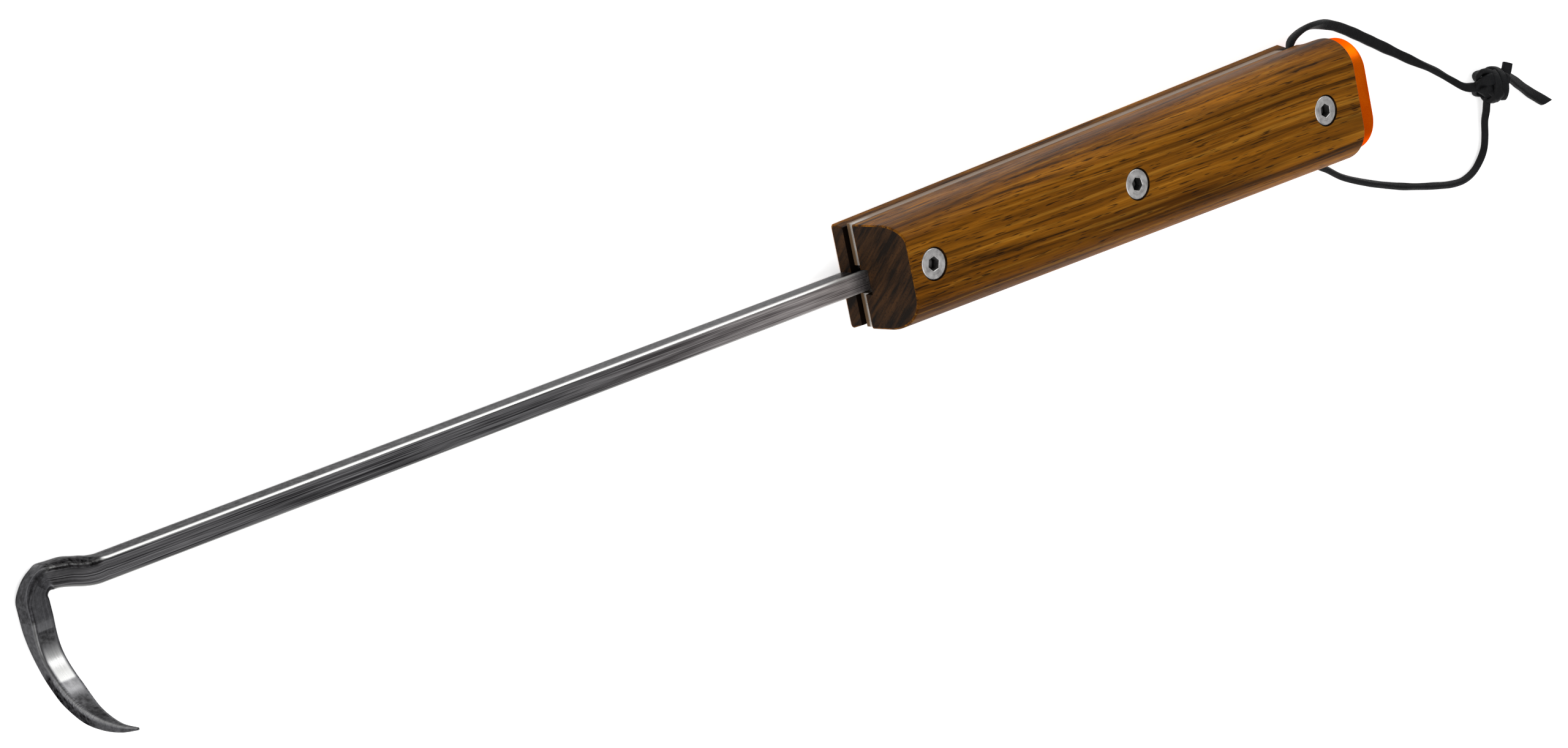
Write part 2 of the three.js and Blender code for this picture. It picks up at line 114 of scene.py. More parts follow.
def spline(points: Sequence[Sequence[float]], count: int) -> Array:
    """Centripetal Catmull-Rom line through points, at even steps of its length.

    Each stretch is the usual blend of four neighbours, with knots spaced by the square root
    of the distance between points; the ends reuse a mirrored neighbour.

    Args:
        points: Points that the line passes through.
        count: Points on the made line.

    Returns:
        An array of count points.
    """
    p = np.array(points, float)
    p = np.vstack([2 * p[0] - p[1], p, 2 * p[-1] - p[-2]])
    step = np.sqrt(np.linalg.norm(np.diff(p, axis=0), axis=1))
    knots = np.concatenate([[0], np.cumsum(step)])
    out = []
    for i in range(1, len(p) - 2):
        t0, t1, t2, t3 = knots[i - 1 : i + 3]
        p0, p1, p2, p3 = p[i - 1 : i + 3]
        t = np.linspace(t1, t2, 24, endpoint=False)[:, None]
        a1, a2, a3 = (
            (end - t) / (end - start) * p_start + (t - start) / (end - start) * p_end
            for start, end, p_start, p_end in ((t0, t1, p0, p1), (t1, t2, p1, p2), (t2, t3, p2, p3))
        )
        b1 = (t2 - t) / (t2 - t0) * a1 + (t - t0) / (t2 - t0) * a2
        b2 = (t3 - t) / (t3 - t1) * a2 + (t - t1) / (t3 - t1) * a3
        out.append((t2 - t) / (t2 - t1) * b1 + (t - t1) / (t2 - t1) * b2)
    line = np.vstack([*out, p[-2]])
    along = lengths(line)
    at = np.linspace(0, along[-1], count)
    return np.stack([np.interp(at, along, line[:, k]) for k in range(3)], axis=1)


def unit(v: Array) -> Array:
    """Vectors along the last axis, made one long."""
    return v / np.maximum(np.linalg.norm(v, axis=-1, keepdims=True), 1e-12)


def round_turn(steps: int) -> Array:
    """Angles of even steps once round a circle, the last one left out."""
    return np.linspace(0, 2 * np.pi, steps, endpoint=False)


def squared(turn: Array, power: float) -> tuple[Array, Array]:
    """Cosine and sine of each angle raised to a power, sign kept: a rounded square."""
    return tuple(np.sign(v) * np.abs(v) ** power for v in (np.cos(turn), np.sin(turn)))


def grid(x: Any, y: Any, z: Any) -> Array:
    """Points from their three coordinates, each spread to the shape of the others."""
    return np.stack(np.broadcast_arrays(x, y, z), axis=-1).astype(float)


def arc(centre: tuple[Any, Any], radii: tuple[Any, Any], start: int, steps: int) -> tuple[Array, Array]:
    """Quarter ellipse in an outline.

    Args:
        centre: Y and Z of the middle, one for each station.
        radii: Half sizes along Y and Z.
        start: Quarter turns from Y at which it starts.
        steps: Points on it.

    Returns:
        Y and Z of its points.
    """
    angle = np.linspace(start, start + 1, steps)[None, :] * np.pi / 2
    return centre[0] + radii[0] * np.cos(angle), centre[1] + radii[1] * np.sin(angle)


def outline(x: Array, parts: Sequence[tuple[Array, Array]]) -> Array:
    """Joins stretches of an outline into one ring at each station.

    Args:
        x: Stations.
        parts: Y and Z of the points of each stretch.

    Returns:
        Points as (stations, columns, 3).
    """
    y, z = (
        np.concatenate([np.broadcast_to(v, (len(x), v.shape[1])) for v in side], axis=1)
        for side in zip(*parts)
    )
    return grid(x[:, None], y, z)


def fields_noise(p: Array, seed: int, scale: float, waves: int = 18) -> Array:
    """Smooth wandering value at each point: a sum of sines in fixed random directions.

    Args:
        p: Points, with the last axis of three.
        seed: Number that fixes the directions.
        scale: Size of one wander, in the points' own unit.
        waves: Sines in the sum.

    Returns:
        Values of about -1 to 1.
    """
    r = np.random.default_rng(seed)
    way = unit(r.normal(size=(waves, 3))) * (2 * np.pi / scale) * r.uniform(0.6, 1.6, (waves, 1))
    lag = r.uniform(0, 2 * np.pi, waves)
    return np.sin(p @ way.T + lag).sum(-1) / math.sqrt(waves)


# ---- surfaces ------------------------------------------------------------------------


@dataclass
class Surface:
    """A closed shell made of rings of points, with its own UV in metres.

    points are (rings, columns, 3) in millimetres. Neighbouring rings are joined by quads and
    each ring closes on itself. The two end rings are closed by one flat face each.
    """

    name: str
    points: Array
    values: dict[str, Array] = field(default_factory=dict)
    end_slot: int = 0
    crease_deg: float = 32.0

    def uv_grid(self) -> Array:
        """UV for each ring and column, the last column doubled.

        U is the mean distance along the rings and V the distance round a ring, both metres.

        Returns:
            UV as (rings, columns + 1, 2).
        """
        p = self.points * MM
        round_it = np.linalg.norm(np.diff(np.concatenate([p, p[:, :1]], axis=1), axis=1), axis=2)
        v = np.concatenate([np.zeros((len(p), 1)), np.cumsum(round_it, axis=1)], axis=1)
        return np.stack(np.broadcast_arrays(lengths(p.mean(axis=1))[:, None], v), axis=2)

    def build(self, materials: Sequence[Material], uv: Array | None = None) -> Object:
        """Makes the mesh object.

        Args:
            materials: Finishes, the first for the sides and the one at end_slot for the ends.
            uv: Grid of UV with one column more than the points, or none for distances.

        Returns:
            The object, at the origin.
        """
        rows, cols, _ = self.points.shape
        base = np.arange(rows - 1)[:, None] * cols + np.arange(cols)
        right = np.arange(rows - 1)[:, None] * cols + (np.arange(cols) + 1) % cols
        quads = np.stack([base, right, right + cols, base + cols], axis=2).reshape(-1, 4)
        flat = self.points.reshape(-1, 3)
        a, b, c, d = (flat[quads[:, i]] for i in range(4))
        volume = (a * np.cross(b - a, c - a)).sum() + (a * np.cross(c - a, d - a)).sum()
        ends = [np.arange(cols)[::-1], (rows - 1) * cols + np.arange(cols)]
        for q in (flat[ring] for ring in ends):
            volume += (q[0] * np.cross(q[1:-1] - q[0], q[2:] - q[0])).sum()
        uvs = self.uv_grid() if uv is None else uv
        corner = np.stack([uvs[:-1, :-1], uvs[:-1, 1:], uvs[1:, 1:], uvs[1:, :-1]], axis=2)
        corner = corner.reshape(-1, 4, 2)
        if volume < 0:
            quads, corner, ends = quads[:, ::-1], corner[:, ::-1], [ring[::-1] for ring in ends]
        faces = quads.tolist() + [ring.tolist() for ring in ends]
        mesh = bpy.data.meshes.new(self.name)
        mesh.from_pydata((flat * MM).tolist(), [], faces)
        loops = np.concatenate([corner.reshape(-1, 2), *(flat[ring][:, 1:] * MM for ring in ends)])
        mesh.uv_layers.new(name="UVMap").data.foreach_set("uv", loops.astype(np.float32).ravel())
        for key, value in self.values.items():
            spread = np.broadcast_to(value, (rows, cols)).astype(np.float32).ravel()
            mesh.attributes.new(key, "FLOAT", "POINT").data.foreach_set("value", spread)
        for material in materials:
            mesh.materials.append(material)
        slots = np.zeros(len(faces), np.int32)
        slots[-2:] = self.end_slot
        mesh.polygons.foreach_set("material_index", slots)
        mesh.validate()
        return finish_mesh(self.name, mesh, self.crease_deg)


def finish_mesh(name: str, mesh: bpy.types.Mesh, crease_deg: float) -> Object:
    """Links a mesh as an object, smooth but for its sharper edges.

    Args:
        name: Name of the object.
        mesh: Its mesh.
        crease_deg: Edges sharper than this stay sharp.

    Returns:
        The object.
    """
    mesh.polygons.foreach_set("use_smooth", np.ones(len(mesh.polygons), bool))
    mesh.set_sharp_from_angle(angle=math.radians(crease_deg))
    mesh.update()
    piece = bpy.data.objects.new(name, mesh)
    bpy.context.scene.collection.objects.link(piece)
    return piece


def carve(piece: Object, tools: Sequence[Object], crease_deg: float = 32.0) -> Object:
    """Takes closed tools out of a piece and throws the tools away.

    Args:
        piece: The piece to cut.
        tools: Closed meshes, each with the finish that its cut shows.
        crease_deg: Edges sharper than this stay sharp.

    Returns:
        A new object of the same name with the cut mesh.
    """
    for tool in tools:
        step = piece.modifiers.new("cut", "BOOLEAN")
        step.operation, step.solver, step.material_mode = "DIFFERENCE", "EXACT", "TRANSFER"
        step.object = tool
    bpy.context.view_layer.update()
    graph = bpy.context.evaluated_depsgraph_get()
    made = bpy.data.meshes.new_from_object(piece.evaluated_get(graph))
    name = piece.name
    for old in [piece, *tools]:
        data = old.data
        bpy.data.objects.remove(old)
        bpy.data.meshes.remove(data)
    made.name = name
    cut = finish_mesh(name, made, crease_deg)
    cut.modifiers.new("flat_faces_rule", "WEIGHTED_NORMAL").keep_sharp = True
    return cut


def turned(name: str, profile: Keys, centre: Pair, sides: int = 96) -> Surface:
    """Solid of revolution about Z: each ring is a circle of the profile's radius at its height.

    Args:
        name: Name of the piece.
        profile: Pairs of radius and height in millimetres, from one end to the other.
        centre: X and Y of the axis.
        sides: Points round each ring.

    Returns:
        The surface.
    """
    turn = round_turn(sides)
    r, z = np.array(profile, float).T[..., None]
    r = np.maximum(r, POINT)
    return Surface(name, grid(centre[0] + r * np.cos(turn), centre[1] + r * np.sin(turn), z))


def block(name: str, low: Sequence[float], high: Sequence[float]) -> Surface:
    """Box between two corners, as two rings of four points.

    Args:
        name: Name of the piece.
        low: The least X, Y and Z.
        high: The greatest X, Y and Z.

    Returns:
        The surface.
    """
    (x0, y0, z0), (x1, y1, z1) = low, high
    ring = [(y0, z0), (y1, z0), (y1, z1), (y0, z1)]
    points = np.array([[(x, y, z) for y, z in ring] for x in (x0, x1)], float)
    return Surface(name, points, crease_deg=20)


# ---- node helper and finishes ----------------------------------------------------------


def add_node(
    tree: bpy.types.NodeTree, kind: str, inputs: dict[Any, Any] | Sequence[Any] = (),
    output: int | str = 0, **settings: Any,
) -> Socket:
    """Adds one node with its settings, values and links.

    Args:
        tree: The material's node tree.
        kind: Name of the node type after "ShaderNode".
        inputs: As for feed.
        output: Name or number of the output to hand back.
        settings: The node's own properties.

    Returns:
        The output socket.
    """
    made = tree.nodes.new("ShaderNode" + kind)
    for key, value in settings.items():
        setattr(made, key, value)
    feed(tree, made, inputs)
    return made.outputs[output]


def feed(tree: bpy.types.NodeTree, node: bpy.types.Node, inputs: dict[Any, Any] | Sequence[Any]) -> None:
    """Sets a node's inputs, linking the ones that are sockets.

    Args:
        tree: The material's node tree.
        node: The node to feed.
        inputs: Input name or number to a value, a hex colour or a socket, or just these in
            the node's own order. That of MapRange is value, from low, from high, to low,
            to high.
    """
    for key, value in inputs.items() if isinstance(inputs, dict) else enumerate(inputs):
        if isinstance(value, Socket):
            tree.links.new(value, node.inputs[key])
        else:
            node.inputs[key].default_value = linear(value) if isinstance(value, str) else value


def new_material(name: str) -> tuple[Material, Callable[..., Socket], Callable[[dict], None]]:
    """Starts a material.

    Args:
        name: Name of the material.

    Returns:
        The material, add_node for its tree and feed for its shader.
    """
    material = bpy.data.materials.new(name)
    material.use_nodes = True
    tree = material.node_tree
    shader = next(n for n in tree.nodes if n.type == "BSDF_PRINCIPLED")
    return material, partial(add_node, tree), partial(feed, tree, shader)


@dataclass(frozen=True)
class BrushedBarSteel:
    """Stainless bar, drawn and belt-brushed along its length, polished inside the hook."""

    body: str = "#8A898B"
    dark: str = "#2C2B2D"
    # Painted light: lighter, less metallic tones on the bar's lit faces towards the grip.
    grip_light_tone: str = "#CFC7C5"
    grip_light_tone_dark: str = "#6F6868"
    polished: str = "#9B9B9D"
    # Worn edges, and the painted highlight along the ridge and inside the hook.
    bare_edge_and_highlight: str = "#DDDDDA"
    forged: str = "#58585B"
    bevel: tuple[str, str] = ("#4A4A4D", "#9C9C9F")
    # Dark of forging scale and of painted shade; its sheen dims the reflection where it lies.
    scale_and_shade_dark: str = "#121112"
    scale_and_shade_sheen: str = "#A0A0A0"
    line_mm: float = 0.25  # spacing of the brushing, drawn coarser than the grit's
    painted: tuple[str, ...] = ("polish", "wear_and_painted_highlight", "scale_and_painted_shade", "ground", "painted_grip_light", "forged")

    def material(self) -> Material:
        """Fine lines along the bar, darker patches between them, bright worn edges with a painted highlight,
        forging scale with painted shade, and painted light towards the grip.

        Returns:
            The material.
        """
        material, add, shade = new_material("brushed_bar_steel")
        uv, place = add("UVMap", uv_map="UVMap"), add("TexCoord", output="Object")
        per_line = 1 / (self.line_mm * MM)
        patterns = (
            ((22, per_line, 1), 4, 0.6), ((160, per_line * 2.2, 1), 2, 0.5),
            ((26, 520, 1), 3, 0.5), ((3400, 90, 1), 2, 0.5),
        )
        lines, fine, patches, ticks = (
            add("TexNoise", {
                "Vector": add("Mapping", {"Vector": uv, "Scale": scale}), "Scale": 1,
                "Detail": detail, "Roughness": broken,
            })
            for scale, detail, broken in patterns
        )
        blots = add("TexNoise", {"Vector": place, "Scale": 900, "Detail": 3, "Roughness": 0.65})
        polish, wear_and_painted_highlight, scale_and_painted_shade, ground, painted_grip_light, forged = (
            add("Attribute", output="Fac", attribute_name=name) for name in self.painted
        )
        both = add("Math", (patches, 0.5, lines), operation="MULTIPLY_ADD")
        streak = add("MapRange", (both, 0.64, 0.90))
        tick = add("MapRange", (ticks, 0.4, 0.6))
        drawn, grip_light_tone, bevel = (
            add("Mix", {0: share, 6: low, 7: high}, **COLOUR)
            for share, low, high in (
                (streak, self.dark, self.body), (streak, self.grip_light_tone_dark, self.grip_light_tone), (tick, *self.bevel),
            )
        )
        # Painted light towards the grip.
        colour = add("Mix", {0: painted_grip_light, 6: drawn, 7: grip_light_tone}, **COLOUR)
        grain = add("MapRange", (fine, 0.3, 0.7, 0.76, 1.16))
        forge_tone = add("MapRange", (blots, 0.3, 0.7, 0.75, 1.15))
        colour, forge_colour = (
            add("Mix", {0: 1.0, 6: base, 7: tone}, blend_type="MULTIPLY", **COLOUR)
            for base, tone in ((colour, grain), (self.forged, forge_tone))
        )
        left = add("MapRange", (blots, 0.35, 0.68, 1.0, 0.62))
        # Painted shade and forging scale, broken up by blots.
        scale_and_shade_cover = add("Math", (scale_and_painted_shade, left), operation="MULTIPLY")
        for cover, over in (
            (forged, forge_colour), (polish, self.polished), (ground, bevel), (wear_and_painted_highlight, self.bare_edge_and_highlight),
            (scale_and_shade_cover, self.scale_and_shade_dark),
        ):
            colour = add("Mix", {0: cover, 6: colour, 7: over}, **COLOUR)
        sheen = add("Mix", {0: scale_and_shade_cover, 6: "#FFFFFF", 7: self.scale_and_shade_sheen}, **COLOUR)
        rough = add("MapRange", (both, 0.45, 1.0, 0.28, 0.42))
        for cover, change in ((polish, -0.08), (wear_and_painted_highlight, 0.03)):
            rough = add("Math", (cover, change, rough), operation="MULTIPLY_ADD")
        height = add("Math", (fine, 0.5, lines), operation="MULTIPLY_ADD")
        for cover, relief in ((ground, ticks), (scale_and_painted_shade, blots)):
            only = add("Math", (cover, relief), operation="MULTIPLY")
            height = add("Math", (only, 1.5, height), operation="MULTIPLY_ADD")
        calm = add("MapRange", (add("Math", (polish, wear_and_painted_highlight)), 0, 1, 1.0, 0.3))
        height = add("Math", (height, calm), operation="MULTIPLY")
        shade({
            "Base Color": colour, "Roughness": rough, "Metallic": add("MapRange", (painted_grip_light, 0, 1, 1.0, 0.5)),
            "Specular Tint": sheen, "Normal": add("Bump", {"Height": height, "Distance": 0.00003}),
        })
        return material


@dataclass(frozen=True)
class GroundPlateSteel:
    """Flat-ground plate edge, a warm grey, with fine marks along the handle."""

    light: str = "#C4BFB8"
    dark: str = "#8A857F"
    wax: str = "#6A543E"
    seam_z: Pair = (0.0060, 0.0056)  # metres: bare above the first, waxed below the second
    seam_x: Pair = (-0.0425, -0.036)  # metres: bare before the first, waxed past the second

    def material(self) -> Material:
        """Lines 0.25 mm apart over a slow change of tone, with wax and wood dust in the seam.

        Returns:
            The material.
        """
        material, add, shade = new_material("ground_plate_steel")
        place = add("TexCoord", output="Object")
        lines, slow = (
            add("TexNoise", {
                "Vector": add("Mapping", {"Vector": place, "Scale": scale}), "Scale": 1,
                "Detail": detail, "Roughness": broken,
            })
            for scale, detail, broken in (((40, 4200, 4200), 3, 0.6), ((60, 200, 200), 2, 0.5))
        )
        share = add("MapRange", (add("Math", (lines, slow)), 0.75, 1.25))
        filled = add("MapRange", (add("SeparateXYZ", (place,), "Z"), *self.seam_z))
        along = add("MapRange", (add("SeparateXYZ", (place,), "X"), *self.seam_x, 0, 0.9))
        wax = add("Math", (filled, along), operation="MAXIMUM")
        colour = add("Mix", {0: share, 6: self.dark, 7: self.light}, **COLOUR)
        colour = add("Mix", {0: wax, 6: colour, 7: self.wax}, **COLOUR)
        shade({
            "Base Color": colour, "Metallic": add("Math", (1.0, wax), operation="SUBTRACT"),
            "Roughness": add("MapRange", (lines, 0.3, 0.7, 0.34, 0.5)),
            "Specular IOR Level": add("MapRange", (wax, 0, 1, 0.5, 0.03)),
            "Normal": add("Bump", {"Height": lines, "Distance": 0.00002}),
        })
        return material


@dataclass(frozen=True)
class WeldSteel:
    """Weld bead as laid: dull, rippled, straw and grey where it was hot."""

    cool: str = "#3B3733"
    hot: str = "#6E6A66"

    def material(self) -> Material:
        """Grey with straw patches of about 1.5 mm and a fine grain.

        Returns:
            The material.
        """
        material, add, shade = new_material("weld_steel")
        place = add("TexCoord", output="Object")
        patch = add("TexNoise", {"Vector": place, "Scale": 700, "Detail": 3, "Roughness": 0.6})
        share = add("MapRange", (patch, 0.35, 0.65))
        shade({
            "Base Color": add("Mix", {0: share, 6: self.cool, 7: self.hot}, **COLOUR), "Metallic": 1.0,
            "Roughness": 0.48, "Normal": add("Bump", {"Height": patch, "Distance": 0.00006}),
        })
        return material


class Cut(Enum):
    """Which way the wood was cut where the surface shows."""

    LONG_GRAIN = "long_grain"
    END_GRAIN = "end_grain"


@dataclass(frozen=True)
class OiledWood:
    """Open-grained dark hardwood, sanded, rounded over and oiled to a satin."""

    cut: Cut = Cut.LONG_GRAIN
    shift: float = 0.0
    light: str = "#8E5810"
    pale: str = "#A87526"
    mid: str = "#663B07"
    deep: str = "#412303"
    streak: str = "#1A0D02"
    pore: str = "#160A03"
    inner_face_shade: str = "#0D0704"
    end_dark: str = "#120903"
    end_light: str = "#3C2510"
    end_pore: str = "#0C0602"

    def material(self) -> Material:
        """Chooses the pattern for this cut."""
        return self.long_grain() if self.cut is Cut.LONG_GRAIN else self.end_grain()

    def long_grain(self) -> Material:
        """Bands 8 mm wide, streaks about 1.6 mm, fibres 0.5 mm and open pores as dashes.

        Returns:
            The material.
        """
        material, add, shade = new_material("oiled_wood_long_grain")
        place = add("Mapping", {
            "Vector": add("TexCoord", output="Object"), "Location": (self.shift, self.shift * 0.3, 0.0),
            "Rotation": (0.35, 0.0, 0.022),
        })
        slow = add("Mapping", {"Vector": place, "Scale": (7, 38, 38)})
        wander = add("TexNoise", {"Vector": slow, "Scale": 1}, "Color")
        centred = add("VectorMath", (wander, (0.5, 0.5, 0.5)), operation="SUBTRACT")
        grain = add("VectorMath", (centred, (0.0, 0.006, 0.006), place), operation="MULTIPLY_ADD")
        patterns = (
            ((9, 120, 120), 2, 0.5), ((2.2, 380, 380), 3, 0.5), ((3.4, 620, 620), 4, 0.6),
            ((60, 2000, 2000), 3, 0.6), ((170, 2600, 2600), 1, 0.5),
        )
        bands, rings, streaks, fibres, pores = (
            add("TexNoise", {
                "Vector": add("Mapping", {"Vector": grain, "Scale": scale}), "Scale": 1,
                "Detail": detail, "Roughness": broken,
            })
            for scale, detail, broken in patterns
        )
        colour = add("Mix", {0: add("MapRange", (bands, 0.36, 0.62)), 6: self.deep, 7: self.light}, **COLOUR)
        for share, over in (
            ((rings, 0.38, 0.64, 0, 0.8), self.mid), ((streaks, 0.44, 0.34, 0, 0.38), self.pale),
            ((streaks, 0.52, 0.66, 0, 0.85), self.streak),
        ):
            colour = add("Mix", {0: add("MapRange", share), 6: colour, 7: over}, **COLOUR)
        tone = add("MapRange", (fibres, 0.25, 0.75, 0.55, 1.3))
        colour = add("Mix", {0: 1.0, 6: colour, 7: tone}, blend_type="MULTIPLY", **COLOUR)
        pore = add("MapRange", (pores, 0.62, 0.70, 0, 0.8))
        inner = add("Attribute", output="Fac", attribute_name="inner")
        # Painted shade: the slab's inner face beside the plate turns near black.
        for cover, over in ((pore, self.pore), (inner, self.inner_face_shade)):
            colour = add("Mix", {0: cover, 6: colour, 7: over}, **COLOUR)
        height = add("Math", (add("Math", (fibres, 0.5), operation="MULTIPLY"), pore), operation="SUBTRACT")
        shade({
            "Base Color": colour, "Roughness": add("MapRange", (fibres, 0.3, 0.7, 0.42, 0.56)), "IOR": 1.5,
            "Specular IOR Level": 0.035, "Normal": add("Bump", {"Height": height, "Distance": 0.00008}),
        })
        return material

    def end_grain(self) -> Material:
        """Dark end grain: growth lines 2 mm apart at a slant, with pores as dots.

        Returns:
            The material.
        """
        material, add, shade = new_material("oiled_wood_end_grain")
        slant = (math.radians(-48), 0, 0)
        slanted = add("Mapping", {"Vector": add("TexCoord", output="Object"), "Rotation": slant})
        lines, dots = (
            add("TexNoise", {
                "Vector": add("Mapping", {"Vector": slanted, "Scale": scale}), "Scale": 1,
                "Detail": detail, "Roughness": 0.6,
            })
            for scale, detail in (((300, 70, 700), 3), ((2200, 2200, 2600), 2))
        )
        share = add("MapRange", (lines, 0.38, 0.66))
        colour = add("Mix", {0: share, 6: self.end_dark, 7: self.end_light}, **COLOUR)
        share = add("MapRange", (dots, 0.56, 0.68, 0, 0.75))
        colour = add("Mix", {0: share, 6: colour, 7: self.end_pore}, **COLOUR)
        height = add("Math", (lines, dots), operation="SUBTRACT")
        shade({
            "Base Color": colour, "Roughness": 0.68, "IOR": 1.5, "Specular IOR Level": 0.08,
            "Normal": add("Bump", {"Height": height, "Distance": 0.00006}),
        })
        return material


@dataclass(frozen=True)
class TurnedScrewSteel:
    """Stainless screw, turned: rings round its axis, a bright edge and a socket darkened by painted shade."""

    body: str = "#D3D1D0"
    dark: str = "#8F8D8D"
    # Painted shade colour inside the socket.
    socket: str = "#1B1A1A"

    def material(self) -> Material:
        """Turning marks 0.12 mm apart along the profile, faint cloudy stains.

        Returns:
            The material.
        """
        material, add, shade = new_material("turned_screw_steel")
        rolled = add("Mapping", {"Vector": add("UVMap", uv_map="UVMap"), "Scale": (8000, 60, 1)})
        rings = add("TexNoise", {"Vector": rolled, "Scale": 1, "Roughness": 0.6})
        place = add("TexCoord", output="Object")
        cloud = add("TexNoise", {"Vector": place, "Scale": 520, "Detail": 3, "Roughness": 0.6})
        share = add("MapRange", (add("Math", (rings, cloud)), 0.7, 1.2))
        colour = add("Mix", {0: share, 6: self.dark, 7: self.body}, **COLOUR)
        # Painted shade in the socket.
        socket_shade = add("Attribute", output="Fac", attribute_name="socket_shade")
        colour = add("Mix", {0: socket_shade, 6: colour, 7: self.socket}, **COLOUR)
        shade({
            "Base Color": colour, "Metallic": 1.0, "Roughness": add("MapRange", (cloud, 0.3, 0.7, 0.36, 0.5)),
            "Normal": add("Bump", {"Height": rings, "Distance": 0.000012}),
        })
        return material


@dataclass(frozen=True)
class OrangeAnodised:
    """Aluminium, bead-blasted and anodised a strong orange."""

    colour: str = "#F2700C"
    shade: str = "#D24C04"
    tint: str = "#F7A868"

    def material(self) -> Material:
        """Even orange metal with the fine grain of the blasting, about 0.15 mm.

        Returns:
            The material.
        """
        material, add, shade = new_material("orange_anodised_aluminium")
        place = add("TexCoord", output="Object")
        grain, cloud = (add("TexNoise", {"Vector": place, "Scale": scale}) for scale in (6000, 90))
        share = add("MapRange", (add("Math", (grain, cloud)), 0.7, 1.3))
        shade({
            "Base Color": add("Mix", {0: share, 6: self.shade, 7: self.colour}, **COLOUR), "Metallic": 1.0,
            "Roughness": 0.36, "Specular Tint": self.tint,
            "Normal": add("Bump", {"Height": grain, "Distance": 0.000012}),
        })
        return material


@dataclass(frozen=True)
class BlackLeather:
    """Cut strip of leather, dyed black through, with a fine worn grain."""

    base: str = "#040405"
    raised: str = "#101113"

    def material(self) -> Material:
        """Grain cells of about 0.4 mm, with creases across the strip and rubbed high spots.

        Returns:
            The material.
        """
        material, add, shade = new_material("dyed_black_leather")
        place = add("TexCoord", output="Object")
        cells = add("TexVoronoi", {"Vector": place, "Scale": 2600})
        rub = add("TexNoise", {"Vector": place, "Scale": 240})
        along = add("Mapping", {"Vector": add("UVMap", uv_map="UVMap"), "Scale": (900, 160, 1)})
        folds = add("TexNoise", {"Vector": along, "Scale": 1, "Detail": 3, "Roughness": 0.6})
        height = add("Math", (cells, 0.8, folds), operation="MULTIPLY_ADD")
        share = add("MapRange", (add("Math", (height, rub)), 1.05, 1.8))
        shade({
            "Base Color": add("Mix", {0: share, 6: self.base, 7: self.raised}, **COLOUR),
            "Roughness": add("MapRange", (cells, 0.1, 0.7, 0.46, 0.66)), "IOR": 1.5,
            "Specular IOR Level": 0.14, "Normal": add("Bump", {"Height": height, "Distance": 0.00009}),
        })
        return material


@dataclass(frozen=True)
class PaleFloor:
    """White studio floor, faintly lit from below."""

    dark: str = "#F6F6F6"
    light: str = "#FAFAFA"
    glow: float = 0.5

    def material(self) -> Material:
        """Even white with a barely seen tooth of about 1 mm.

        Returns:
            The material.
        """
        material, add, shade = new_material("pale_floor")
        tooth = add("TexNoise", {"Vector": add("TexCoord", output="Object"), "Scale": 900})
        colour = add("Mix", {0: tooth, 6: self.dark, 7: self.light}, **COLOUR)
        shade({
            "Base Color": colour, "Roughness": 0.95, "Emission Color": colour,
            "Emission Strength": self.glow,
        })
        return material


class Finish(Enum):
    """The record's material slots, by name."""

    BAR = "bar_steel"
    PLATE = "plate_steel"
    WELD = "weld_steel"
    WOOD = "oiled_wood"
    SCREW = "screw_steel"
    CAP = "orange_anodised"
    LEATHER = "black_leather"


def enter(piece: Object, finish: Finish, *nodes: str) -> Object:
    """Puts a new piece in the model: it rides on the one body and stands for CAD nodes.

    Args:
        piece: The new piece.
        finish: The record's slot for its finish; not used.
        nodes: CAD nodes that it replaces.

    Returns:
        The same piece.
    """
    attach(piece, ROOT)
    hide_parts(*nodes)
    log.info("%s: %d faces, stands for %s", piece.name, len(piece.data.polygons), ", ".join(nodes))
    return piece


# ---- sub-assemblies ---------------------------------------------------------------------


